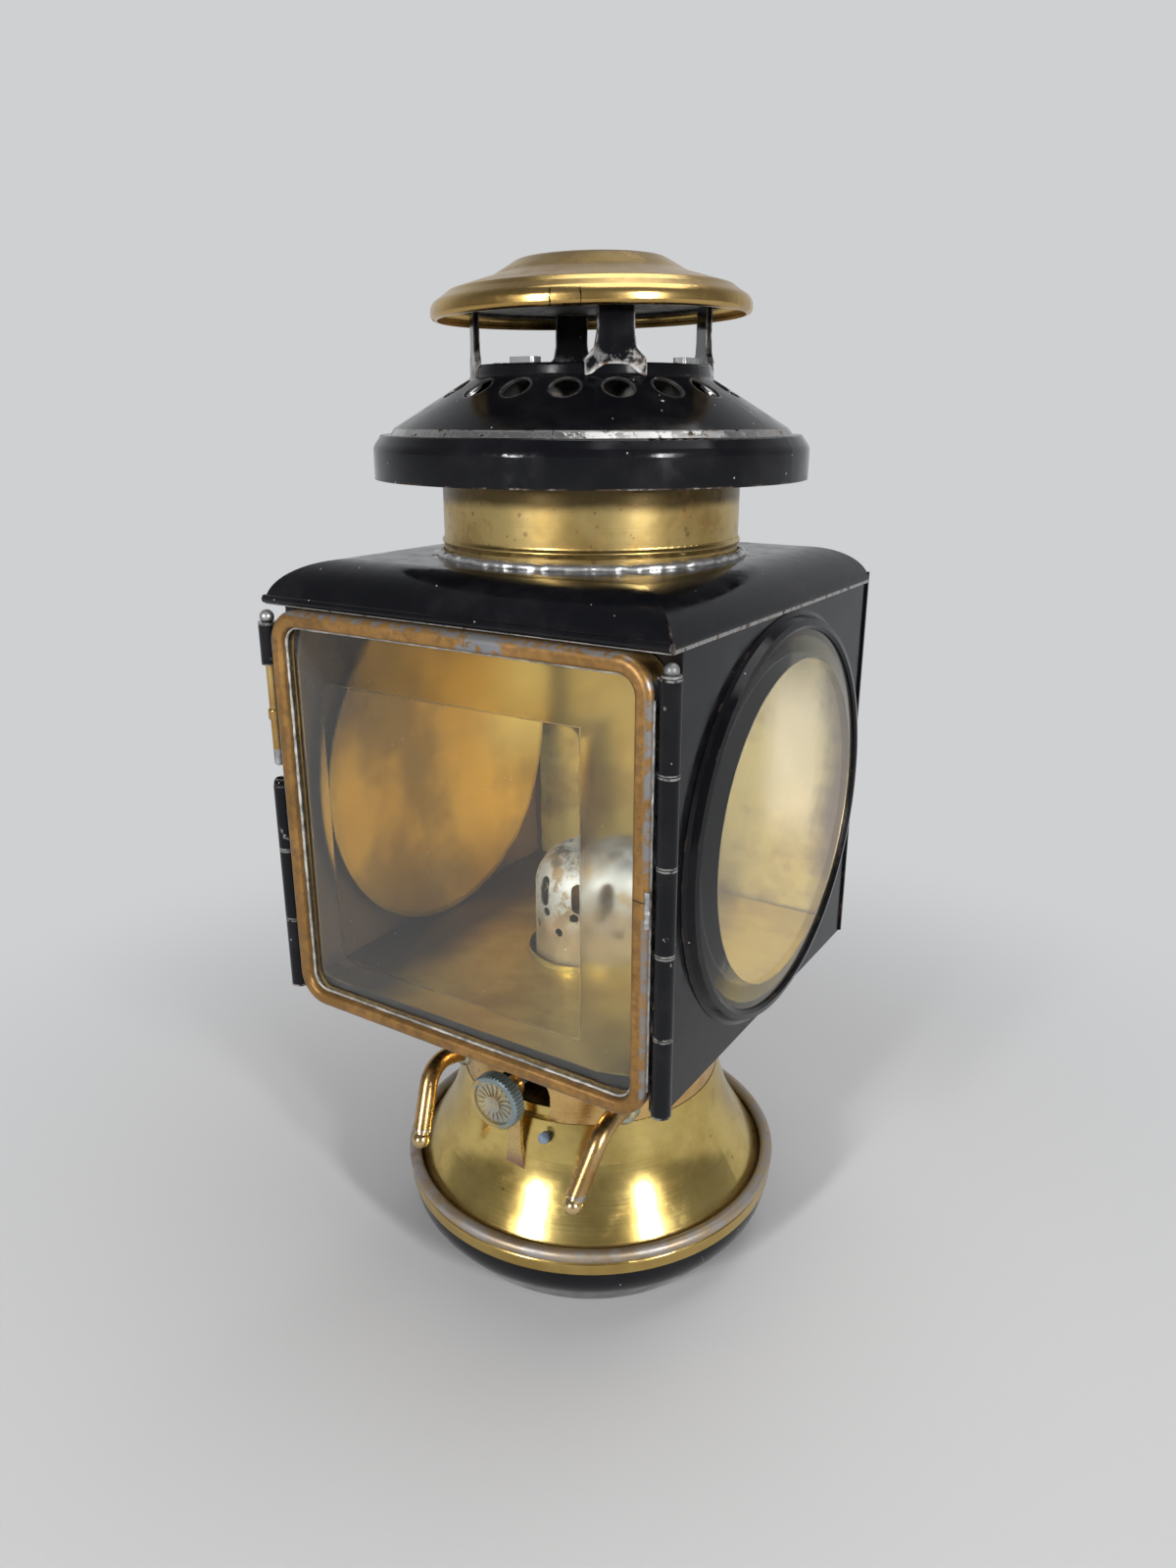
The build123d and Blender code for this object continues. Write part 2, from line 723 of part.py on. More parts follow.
def make_lens_ring():
    outer = lens_ring_outer()
    inner = outer - lens_ring_width
    points = [(inner, lens_seat)]
    points += [(inner + out * lens_ring_width, up * lens_ring_height) for out, up in lens_ring_outline]
    points += [(outer, 0), (inner + lens_lip, 0), (inner + lens_lip, lens_seat)]
    return about_x(points, body_side)


def make_side_lens():
    """Round glass with a bevelled edge, held between the ring's lip and the clamp behind the panel."""
    radius = lens_glass_radius()
    points = [(0, -panel_wall), (radius, -panel_wall), (radius, lens_seat), (radius - lens_lip, lens_seat)]
    points += [(radius - lens_bevel_width, lens_seat + lens_bevel_depth), (0, lens_seat + lens_bevel_depth)]
    return about_x(points, body_side)


def make_lens_clamp():
    """Flat ring behind the round glass, inside the panel."""
    inner = lens_glass_radius() - clamp_ring_width
    outer = lens_glass_radius() + clamp_ring_land
    points = [(inner, -panel_wall - clamp_ring_wall), (outer, -panel_wall - clamp_ring_wall),
              (outer, -panel_wall), (inner, -panel_wall)]
    return about_x(points, body_side)


def reflector_radius():
    return min(body_depth / 2 - panel_wall, mid_z - floor_z) - reflector_margin - reflector_flange


def reflector_back():
    return -body_side + panel_wall + reflector_stud_length


def make_reflector():
    radius = reflector_radius()
    sphere = (radius ** 2 + reflector_depth ** 2) / (2 * reflector_depth)
    back = reflector_back()
    rim = back + reflector_depth
    outer = ThreePointArc((back, 0, 0), (back + sphere - sqrt(sphere ** 2 - radius ** 2 / 4), radius / 2, 0),
                          (rim, radius, 0))
    flange = Line((rim, radius, 0), (rim, radius + reflector_flange, 0))
    path = Wire([outer.edges()[0], flange.edges()[0]])
    return Pos(0, 0, mid_z) * revolve(sheet_section(path, reflector_wall, Vector(0, 0, -1)), Axis.X)


def make_reflector_studs(reflector):
    studs = []
    inner = -body_side + panel_wall
    for i in range(reflector_stud_count):
        angle = radians(90 + 360 * i / reflector_stud_count)
        y = reflector_stud_circle * cos(angle)
        z = mid_z + reflector_stud_circle * sin(angle)
        bar = sideways(inner, inner + reflector_depth, y, z, reflector_stud_radius) - reflector
        studs.append(min(bar.solids(), key=lambda s: s.center().X))
    return group(studs)


# Neck, hood and cap


def make_neck_ring():
    low = roof_top_z
    bead = low + neck_bead_height
    points = [(neck_radius, low - panel_wall), (neck_radius, bead - neck_bead_half),
              (neck_radius + neck_bead_proud, bead), (neck_radius, bead + neck_bead_half),
              (neck_radius, neck_top_z)]
    return spun(points, neck_bead_rounds, brass_wall)


def make_hood_deck():
    top = neck_top_z + panel_wall
    deck = tube(0, 0, hood_radius - panel_wall, chimney_radius, neck_top_z, top)
    circle = (neck_radius + chimney_radius) / 2
    for i in range(hood_deck_slots):
        angle = radians(360 * i / hood_deck_slots)
        deck -= post(circle * cos(angle), circle * sin(angle), hood_deck_slot_radius,
                     neck_top_z - cut_extra, top + cut_extra)
    return deck


def make_vent_hood():
    rim_top = hood_bottom_z + hood_rim_height
    cone_top = hood_ring_z + hood_cone_rise
    points = [(hood_radius, hood_bottom_z), (hood_radius, rim_top),
              (hood_ring_radius + hood_shoulder_out, rim_top + hood_shoulder_rise),
              (hood_ring_radius + hood_ring_step, rim_top + hood_shoulder_rise),
              (hood_ring_radius, hood_ring_z), (hood_mouth_radius + hood_mouth_flare, cone_top),
              (hood_mouth_radius, hood_mouth_z), (hood_mouth_radius - hood_mouth_lip, hood_mouth_z)]
    hood = spun(points, hood_rounds, panel_wall)
    slope = degrees(atan2(hood_cone_rise, hood_ring_radius - hood_mouth_radius))
    run = hood_ring_radius - hood_mouth_radius - hood_mouth_flare
    share = (hood_ring_radius - hood_hole_circle) / run
    hole_z = hood_ring_z + hood_cone_rise * share
    drill = Rot(0, 90 - slope, 0) * Cylinder(hood_hole_radius, 2 * cut_extra)
    for i in range(hood_hole_count):
        turn = hood_hole_start + 360 * (i + 0.5) / hood_hole_count
        hood -= Rot(0, 0, turn) * Pos(hood_hole_circle, 0, hole_z) * drill
    return hood


def make_chimney_tube():
    return tube(0, 0, chimney_radius, chimney_radius - panel_wall, eaves_z + chimney_foot,
                hood_mouth_z - panel_wall)


def cap_place(shape):
    """Set a shape over the hood's mouth with the cap's slight tilt."""
    turn = Rot(0, 0, cap_tilt_axis_angle) * Rot(cap_tilt, 0, 0) * Rot(0, 0, -cap_tilt_axis_angle)
    return Pos(0, 0, cap_rim_z) * turn * shape


def make_cap():
    shoulder = cap_rim_height + cap_step_rise
    points = [(cap_radius - cap_curl, 0), (cap_radius, 0), (cap_radius, cap_rim_height),
              (cap_step_radius + cap_ledge_width, shoulder), (cap_step_radius, shoulder + cap_ledge_rise),
              (cap_crown_radius + cap_crown_run, cap_height - cap_crown_fall),
              (cap_crown_radius, cap_height - cap_crown_dome),
              (cap_crown_radius / 3, cap_height), (0, cap_height)]
    return cap_place(spun(points, cap_rounds, panel_wall))


def make_cap_baffle():
    top = baffle_above_rim + baffle_height
    rim = [(baffle_radius, baffle_above_rim), (baffle_radius, top), (0, top)]
    return cap_place(spun(rim, [baffle_round], baffle_wall))


def make_cap_posts(hood, baffle):
    posts = []
    low = hood_mouth_z - post_foot_sink
    high = cap_rim_z + baffle_above_rim + post_into_baffle
    foot = hood_mouth_z + post_foot_height
    outline = Polyline(
        (-post_foot_width / 2, low), (post_foot_width / 2, low),
        (post_foot_width / 2, hood_mouth_z + post_toe_height),
        (post_width / 2 + post_ankle, hood_mouth_z + post_foot_height / 2),
        (post_width / 2, foot),
        (post_width / 2, high), (-post_width / 2, high), (-post_width / 2, foot),
        (-post_width / 2 - post_ankle, hood_mouth_z + post_foot_height / 2),
        (-post_foot_width / 2, hood_mouth_z + post_toe_height), close=True)
    plate = extrude(Plane.YZ * Face(Wire(outline.edges())), amount=post_wall)
    for i in range(post_count):
        turn = post_angle + 360 * i / post_count
        placed = Rot(0, 0, turn) * Pos(post_radius, 0, 0) * plate
        placed = placed - hood - baffle
        above = [s for s in placed.solids() if s.center().Z > hood_mouth_z]
        posts.append(max(above, key=lambda s: s.volume))
    return group(posts)


def make_rim_tabs():
    tabs = []
    outside = post_radius + tab_outside_posts
    for i in range(post_count):
        turn = post_angle + 360 * (i + 0.5) / post_count
        tab = block(outside - tab_depth, outside, -tab_width / 2, tab_width / 2,
                    hood_mouth_z, hood_mouth_z + tab_height)
        tab = fillet(tab.edges().filter_by(Axis.Z), tab_corner)
        tabs.append(Rot(0, 0, turn) * tab)
    return group(tabs)


# Draught tubes


def tube_route(side):
    """Where a tube leaves the collar, where it turns down, and where it ends."""
    angle = radians(tube_angle)
    base = Vector(collar_radius * sin(angle), -collar_radius * cos(angle), shoulder_z + tube_above_shoulder)
    bend = base + Vector(*tube_run)
    tip = bend + Vector(*tube_fall)
    return [Vector(side * p.X, p.Y, p.Z) for p in (base, bend, tip)]


def make_draught_tube(side):
    base, bend, tip = tube_route(side)
    into = base - (bend - base).normalized() * tube_root
    path = Wire(FilletPolyline(into, bend, tip, radius=tube_bend_radius).edges())
    start = Plane(origin=into, z_dir=bend - base)
    outer = sweep(start * Circle(tube_radius), path=path)
    bore = sweep(start * Circle(tube_bore), path=path)
    wall = outer - bore
    inside = post(0, 0, collar_radius, collar_bottom_z - cut_extra, body_bottom_z)
    return max((wall - inside).solids(), key=lambda s: s.volume)


def make_tube_flange(side):
    base, bend, _ = tube_route(side)
    along = (bend - base).normalized()
    plane = Plane(origin=base - along * tube_root, z_dir=along)
    collar = extrude(plane * Circle(flange_radius), amount=tube_root + flange_length)
    top = collar.faces().sort_by(lambda f: (f.center() - base).dot(along))[-1]
    collar = fillet(top.edges(), flange_round)
    collar -= extrude(plane * Circle(tube_radius), amount=tube_root + flange_length + cut_extra)
    inside = post(0, 0, collar_radius, collar_bottom_z - cut_extra, body_bottom_z)
    return max((collar - inside).solids(), key=lambda s: s.volume)


def make_tube_tip(side):
    _, bend, tip = tube_route(side)
    down = (tip - bend).normalized()
    plane = Plane(origin=tip, z_dir=down)
    neck = extrude(plane * Circle(tip_neck_radius), amount=tip_neck_length + tip_ball_drop)
    ball = Pos(*(tip + down * (tip_neck_length + tip_ball_drop))) * Sphere(tip_ball_radius)
    flat = Plane(origin=tip + down * tip_neck_length, z_dir=down)
    lower = extrude(flat * Circle(2 * tip_ball_radius), amount=tip_ball_drop + 2 * tip_ball_radius)
    length = tip_neck_length + tip_ball_drop + 2 * tip_ball_radius
    hole = extrude(plane * Circle(tip_hole_radius), amount=length)
    return neck + (ball & lower) - hole


# Hinge and latch


def knuckle_span(index):
    """Low and high ends of a knuckle, counted from 0 at the top, with the end gaps taken off."""
    high = hinge_top_z - index * knuckle_length
    low = high - knuckle_length
    return low + knuckle_gap / 2, high - knuckle_gap / 2


def body_leaf(x, low, high):
    """Strip from a knuckle back to the body's front corner."""
    edge = body_side - panel_wall / 2 - leaf_wall / 2
    x0 = edge if x > 0 else -edge - leaf_wall
    return block(x0, x0 + leaf_wall, hinge_y + leaf_root, body_front, low, high)


def door_leaf(x, low, high):
    """Strip from a knuckle across to the door's side wall."""
    side = 1 if x > 0 else -1
    x0, x1 = sorted((side * door_half, side * (hinge_x - leaf_root)))
    return block(x0, x1, hinge_y - leaf_wall / 2, hinge_y + leaf_wall / 2, low, high)


def knuckle(x, index, leaf, bore):
    low, high = knuckle_span(index)
    barrel = post(x, hinge_y, knuckle_radius, low, high) + leaf(x, low, high)
    return barrel - post(x, hinge_y, bore, low - cut_extra, high + cut_extra)


def make_knuckles_body():
    """Knuckles on the body: two hold the hinge pin, and the left one is a plain half."""
    right = [knuckle(hinge_x, i, body_leaf, hinge_pin_radius) for i in (1, 3)]
    return group(right + [knuckle(-hinge_x, 3, body_leaf, hinge_pin_radius)])


def make_knuckles_door():
    """Knuckles on the door: three turn on the hinge pin, and the lowest left one is a plain half."""
    bore = hinge_pin_radius + running_gap
    right = [knuckle(hinge_x, i, door_leaf, bore) for i in (0, 2, 4)]
    return group(right + [knuckle(-hinge_x, 4, door_leaf, bore)])


def make_hinge_pin():
    low = knuckle_base_z - pin_end_length
    high = hinge_top_z + pin_washer_height
    pin = post(hinge_x, hinge_y, hinge_pin_radius, low, high)
    pin += post(hinge_x, hinge_y, pin_washer_radius, hinge_top_z, high)
    head = Pos(hinge_x, hinge_y, high + pin_head_rise) * Sphere(pin_head_radius)
    return pin + (head - post(hinge_x, hinge_y, 2 * pin_head_radius, low, high))


def make_latch_barrel():
    low = hinge_top_z - latch_barrel_length
    barrel = post(-hinge_x, hinge_y, knuckle_radius, low, hinge_top_z) + body_leaf(-hinge_x, low, hinge_top_z)
    bore = post(-hinge_x, hinge_y, latch_bolt_radius + running_gap,
                low - cut_extra, hinge_top_z - panel_wall)
    return barrel - bore


def make_latch_finial():
    centre = hinge_top_z + latch_ball_radius - latch_ball_sink
    ball = Pos(-hinge_x, hinge_y, centre) * Sphere(latch_ball_radius)
    return ball - post(-hinge_x, hinge_y, 2 * latch_ball_radius, hinge_top_z - cut_extra, hinge_top_z)


def keeper_top_z():
    """Top of the keeper's barrel, under its rounded mouth."""
    return knuckle_span(2)[1] - latch_mouth_drop


def latch_tip_z():
    return keeper_top_z() + mouth_height + latch_open_gap


def make_latch_bolt():
    top = hinge_top_z - latch_barrel_length + latch_engaged
    grip_z = latch_tip_z() + latch_grip_rise
    rod = post(-hinge_x, hinge_y, latch_bolt_radius, latch_tip_z() + latch_tip_length, top)
    grip = post(-hinge_x, hinge_y, latch_grip_radius, grip_z, grip_z + latch_grip_length)
    grip = fillet(grip.edges().filter_by(GeomType.CIRCLE), latch_edge)
    return rod + grip


def make_latch_bolt_tip():
    tip = post(-hinge_x, hinge_y, latch_bolt_radius, latch_tip_z(), latch_tip_z() + latch_tip_length)
    return chamfer(tip.edges().filter_by(GeomType.CIRCLE).sort_by(Axis.Z)[0], latch_edge)


def make_latch_keeper():
    """Upper left knuckle on the door, with a rounded mouth that takes the bolt."""
    low = knuckle_span(2)[0]
    high = keeper_top_z()
    barrel = post(-hinge_x, hinge_y, knuckle_radius, low, high) + door_leaf(-hinge_x, low, high)
    mouth = Pos(-hinge_x, hinge_y, high + mouth_rise) * Sphere(mouth_radius)
    slab = post(-hinge_x, hinge_y, 2 * mouth_radius, high - mouth_sink, high + mouth_height)
    barrel += mouth & slab
    bore = latch_bolt_radius + running_gap
    return barrel - post(-hinge_x, hinge_y, bore, low - cut_extra, high + cut_extra)


# Door


def make_door_bezel():
    inner = door_half - bezel_band
    inner_height = door_half_height - bezel_band
    ring = door_slab(door_half, door_half_height, bezel_corner, bezel_front, bezel_back)
    hole = door_slab(inner, inner_height, bezel_corner - bezel_band,
                     bezel_front - cut_extra, bezel_back + cut_extra)
    ring -= hole
    front = ring.faces().sort_by(Axis.Y)[0]
    outer = front.outer_wire().edges()
    ring = fillet(outer, bezel_outer_round)
    front = ring.faces().sort_by(Axis.Y)[0]
    inside = front.inner_wires()[0].edges()
    return fillet(inside, bezel_inner_round)


def make_door_frame():
    half, height = door_half, door_half_height
    glass_half = door_half - bezel_band + glass_lip
    glass_height = door_half_height - bezel_band + glass_lip
    glass_corner = bezel_corner - bezel_band + glass_lip
    back = bezel_back + frame_depth
    ring = door_slab(half, height, bezel_corner, bezel_back, back)
    ring -= door_slab(glass_half, glass_height, glass_corner, bezel_back - cut_extra, back + cut_extra)
    inner = bezel_corner - frame_wall
    return ring - door_slab(half - frame_wall, height - frame_wall, inner, glass_back, back + cut_extra)


def make_front_glass():
    glass_half = door_half - bezel_band + glass_lip
    glass_height = door_half_height - bezel_band + glass_lip
    corner = bezel_corner - bezel_band + glass_lip
    slab = door_slab(glass_half, glass_height, corner, bezel_back, glass_back)
    foot_half = door_half - bezel_band - glass_foot_gap
    foot_height = door_half_height - bezel_band - glass_foot_gap
    foot_corner = corner - glass_lip - glass_foot_gap
    foot = Pos(0, bezel_back, door_mid_z) * (
        Plane.XZ * RectangleRounded(2 * foot_half, 2 * foot_height, foot_corner))
    top_half = foot_half - glass_bevel_width
    top_height = foot_height - glass_bevel_width
    top = Pos(0, bezel_back - glass_bevel_depth, door_mid_z) * (
        Plane.XZ * RectangleRounded(2 * top_half, 2 * top_height, glass_land_corner))
    return slab + loft([foot, top])


def make_glass_retainer():
    outer_half = door_half - frame_wall
    outer_height = door_half_height - frame_wall
    inner_half = door_half - bezel_band - retainer_inside
    inner_height = door_half_height - bezel_band - retainer_inside
    ring = door_slab(outer_half, outer_height, bezel_corner - frame_wall,
                     glass_back, glass_back + retainer_wall)
    return ring - door_slab(inner_half, inner_height, bezel_corner - bezel_band - retainer_inside,
                            glass_back - cut_extra, glass_back + cut_extra)


def make_retainer_screws():
    y = glass_back + retainer_wall
    off_x = door_half - frame_wall - screw_inset
    off_z = door_half_height - frame_wall - screw_inset
    screws = []
    for x, z in ((-off_x, 0), (off_x, 0), (0, -off_z), (0, off_z)):
        head = across(y, y + screw_head_height, x, door_mid_z + z, screw_radius)
        slit = block(x - cut_extra, x + cut_extra, y + screw_head_height / 2, y + cut_extra,
                     door_mid_z + z - screw_slit / 2, door_mid_z + z + screw_slit / 2)
        screws.append(head - slit)
    return group(screws)


# Bracket on the back


def socket_axis_y():
    return body_back + bracket_wall + socket_stand + socket_wall + socket_bore_radius


def socket_z():
    return body_bottom_z + socket_centre_height


def make_bracket_plate():
    plate = Plane.XZ.offset(-body_back) * RectangleRounded(bracket_width, bracket_height, bracket_corner)
    return Pos(0, 0, socket_z()) * extrude(plate, amount=-bracket_wall)


def make_bracket_socket():
    low = socket_z() - socket_tube_length / 2
    high = socket_z() + socket_tube_length / 2
    y = socket_axis_y()
    body = post(0, y, socket_bore_radius + socket_wall, low, high)
    body += block(-web_width, web_width, body_back + bracket_wall, y, low, high)
    body -= post(0, y, socket_bore_radius, low - cut_extra, high + cut_extra)
    outside = y + socket_bore_radius + socket_wall
    return body - across(y, outside + cut_extra, 0, socket_z(), set_screw_radius)


def make_bracket_rivets():
    rivets = []
    y = body_back + bracket_wall
    off_x = bracket_width / 2 - bracket_rivet_inset
    off_z = bracket_height / 2 - bracket_rivet_inset
    for x in (-off_x, off_x):
        for z in (-off_z, off_z):
            head = across(y, y + bracket_rivet_height, x, socket_z() + z, bracket_rivet_radius)
            far = head.faces().sort_by(Axis.Y)[-1]
            rivets.append(fillet(far.edges(), bracket_rivet_round))
    return group(rivets)


def make_set_screw():
    y = socket_axis_y() + socket_bore_radius
    end = socket_axis_y() + socket_bore_radius + socket_wall + set_screw_stand
    shank = across(y + set_screw_gap, end, 0, socket_z(), set_screw_radius)
    half = set_screw_head / 2
    head = block(-half, half, end, end + set_screw_head_height, socket_z() - half, socket_z() + half)
    return shank + fillet(head.edges().filter_by(Axis.Y), set_screw_head_round)


def build():
    parts = {}
    cone = make_font_cone()
    parts["font_cone"] = cone
    parts["font_bead_ring"] = make_bead_ring(cone)
    parts["font_pan"] = make_font_pan(cone)
    parts["font_top_plate"] = make_font_top()
    parts["burner_socket"] = make_burner_socket()
    parts["locating_stud"] = make_locating_stud(cone)
    parts["shaft_strap"] = make_shaft_strap(cone)
    parts["burner_base"] = make_burner_base()
    parts["burner_tube"] = make_burner_tube()
    parts["wick_tube"] = make_wick_tube()
    parts["wick"] = make_wick()
    parts["wick_shaft"] = make_wick_shaft()
    parts["spur_wheels"] = make_spur_wheels()
    parts["knob_rim"] = make_knob_rim()
    parts["knob_face"] = make_knob_face()

    parts["collar"] = make_collar()
    parts["bottom_plate"] = make_bottom_plate()
    parts["side_panel_left"] = side_panel(-1)
    parts["side_panel_right"] = make_side_panel_right()
    parts["back_panel"] = make_back_panel()
    parts["front_frame"] = make_front_frame()
    parts["floor_plate"] = make_floor_plate()
    roof = make_roof()
    parts["roof"] = roof
    parts["roof_lip"] = make_roof_lip()
    parts["eave_strip"] = make_eave_strip(roof)
    parts["lens_ring"] = make_lens_ring()
    parts["side_lens"] = make_side_lens()
    parts["lens_clamp"] = make_lens_clamp()
    reflector = make_reflector()
    parts["reflector"] = reflector
    parts["reflector_studs"] = make_reflector_studs(reflector)

    parts["neck_ring"] = make_neck_ring()
    parts["hood_deck"] = make_hood_deck()
    hood = make_vent_hood()
    parts["vent_hood"] = hood
    parts["chimney_tube"] = make_chimney_tube()
    baffle = make_cap_baffle()
    parts["cap"] = make_cap()
    parts["cap_baffle"] = baffle
    parts["cap_posts"] = make_cap_posts(hood, baffle)
    parts["rim_tabs"] = make_rim_tabs()

    parts["draught_tube_left"] = make_draught_tube(-1)
    parts["draught_tube_right"] = make_draught_tube(1)
    parts["tube_flanges"] = group(make_tube_flange(side) for side in (-1, 1))
    parts["tube_tips"] = group(make_tube_tip(side) for side in (-1, 1))

    parts["knuckles_body"] = make_knuckles_body()
    parts["knuckles_door"] = make_knuckles_door()
    parts["hinge_pin"] = make_hinge_pin()
    parts["latch_barrel"] = make_latch_barrel()
    parts["latch_finial"] = make_latch_finial()
    parts["latch_bolt"] = make_latch_bolt()
    parts["latch_bolt_tip"] = make_latch_bolt_tip()
    parts["latch_keeper"] = make_latch_keeper()

    parts["door_bezel"] = make_door_bezel()
    parts["door_frame"] = make_door_frame()
    parts["front_glass"] = make_front_glass()
    parts["glass_retainer"] = make_glass_retainer()
    parts["retainer_screws"] = make_retainer_screws()

    parts["bracket_plate"] = make_bracket_plate()
    parts["bracket_socket"] = make_bracket_socket()
    parts["bracket_rivets"] = make_bracket_rivets()
    parts["set_screw"] = make_set_screw()
    return parts


os.makedirs("parts", exist_ok=True)
for name, shape in build().items():
    export_step(shape, "parts/" + name + ".step")
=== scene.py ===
"""Finishes, solder and studio for an early motor car's oil side lamp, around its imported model. Metres."""

import math

import bmesh
import bpy
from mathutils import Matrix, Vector, noise


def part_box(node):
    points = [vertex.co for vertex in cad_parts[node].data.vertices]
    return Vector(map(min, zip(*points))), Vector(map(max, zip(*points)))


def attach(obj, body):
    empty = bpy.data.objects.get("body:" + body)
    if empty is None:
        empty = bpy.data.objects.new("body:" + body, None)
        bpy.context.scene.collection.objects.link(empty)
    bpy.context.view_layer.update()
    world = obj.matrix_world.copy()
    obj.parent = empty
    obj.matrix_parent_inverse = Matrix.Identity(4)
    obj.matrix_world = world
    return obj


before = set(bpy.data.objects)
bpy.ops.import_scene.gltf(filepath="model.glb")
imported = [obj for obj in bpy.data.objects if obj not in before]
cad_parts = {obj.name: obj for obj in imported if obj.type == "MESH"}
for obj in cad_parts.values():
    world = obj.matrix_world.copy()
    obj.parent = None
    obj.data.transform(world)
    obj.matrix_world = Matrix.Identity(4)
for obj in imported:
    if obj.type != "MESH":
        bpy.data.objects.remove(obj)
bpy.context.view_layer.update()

MM = 0.001


def low(node):
    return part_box(node)[0]


def high(node):
    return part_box(node)[1]


# Places read from the frame
body_side = high("side_panel_right").x
body_front = low("front_frame").y
body_back = high("back_panel").y
eaves = high("side_panel_left").z
mid_z = (low("side_panel_left").z + eaves) / 2
neck_bead = 0.7 * MM
neck_radius = high("neck_ring").x - neck_bead
bezel_low = low("door_bezel")
bezel_high = high("door_bezel")
bezel_mid_z = (bezel_low.z + bezel_high.z) / 2
door_half = bezel_high.x
lens_radius = high("side_lens").y

# Places measured in the photograph
bezel_band = 4.2 * MM
door_flat_inset = 17.75 * MM     # from the door's side to the end of its glass's flat
lens_flat_inset = 8.6 * MM
hood_ring_radius = 53.2 * MM
hood_hole_circle = 36.4 * MM
rubbed_patch_x = 12.0 * MM
bezel_joint_z = 149.0 * MM
cap_crack_angles = (-71.0, -61.5)
hinge_joints = 5
wall_half = 0.4 * MM


# Node helpers


class Nodes:
    """Short calls for adding and joining nodes in one tree."""

    def __init__(self, tree):
        self.tree = tree

    def add(self, kind, **settings):
        node = self.tree.nodes.new(kind)
        for key, value in settings.items():
            setattr(node, key, value)
        return node

    def join(self, start, end):
        self.tree.links.new(start, end)

    def put(self, value, socket):
        """Give a socket a plain value or a link, whichever the value is."""
        if isinstance(value, bpy.types.NodeSocket):
            self.join(value, socket)
        elif socket.type == "RGBA":
            socket.default_value = (*value, 1.0)
        else:
            socket.default_value = value

    def math(self, operation, a, b=0.0):
        node = self.add("ShaderNodeMath", operation=operation)
        self.put(a, node.inputs[0])
        self.put(b, node.inputs[1])
        return node.outputs[0]

    def times(self, first, *others):
        for other in others:
            first = self.math("MULTIPLY", first, other)
        return first

    def most(self, first, *others):
        for other in others:
            first = self.math("MAXIMUM", first, other)
        return first

    def shifted(self, value, by, reach):
        """A place moved by a pattern, so that what ends there ends unevenly."""
        return self.math("ADD", value, self.times(by, reach))

    def wander(self, value, by, reach):
        """The same, moved both ways about where it was."""
        return self.shifted(value, self.math("SUBTRACT", by, 0.5), reach)

    def ramp(self, value, start, end, out_start=0.0, out_end=1.0, shape="LINEAR"):
        """Value taken from one range to another."""
        node = self.add("ShaderNodeMapRange", interpolation_type=shape)
        self.put(value, node.inputs["Value"])
        self.put(start, node.inputs["From Min"])
        self.put(end, node.inputs["From Max"])
        self.put(out_start, node.inputs["To Min"])
        self.put(out_end, node.inputs["To Max"])
        return node.outputs["Result"]

    def span(self, value, start, end, out_start=0.0, out_end=1.0):
        """Value taken smoothly from one range to another."""
        return self.ramp(value, start, end, out_start, out_end, "SMOOTHSTEP")

    def mix(self, share, a, b):
        """Colour between a and b."""
        node = self.add("ShaderNodeMix", data_type="RGBA")
        self.put(share, node.inputs[0])
        self.put(a, node.inputs[6])
        self.put(b, node.inputs[7])
        return node.outputs[2]

    def blend(self, share, a, b):
        """Number between a and b."""
        node = self.add("ShaderNodeMix", data_type="FLOAT")
        self.put(share, node.inputs[0])
        self.put(a, node.inputs[2])
        self.put(b, node.inputs[3])
        return node.outputs[0]


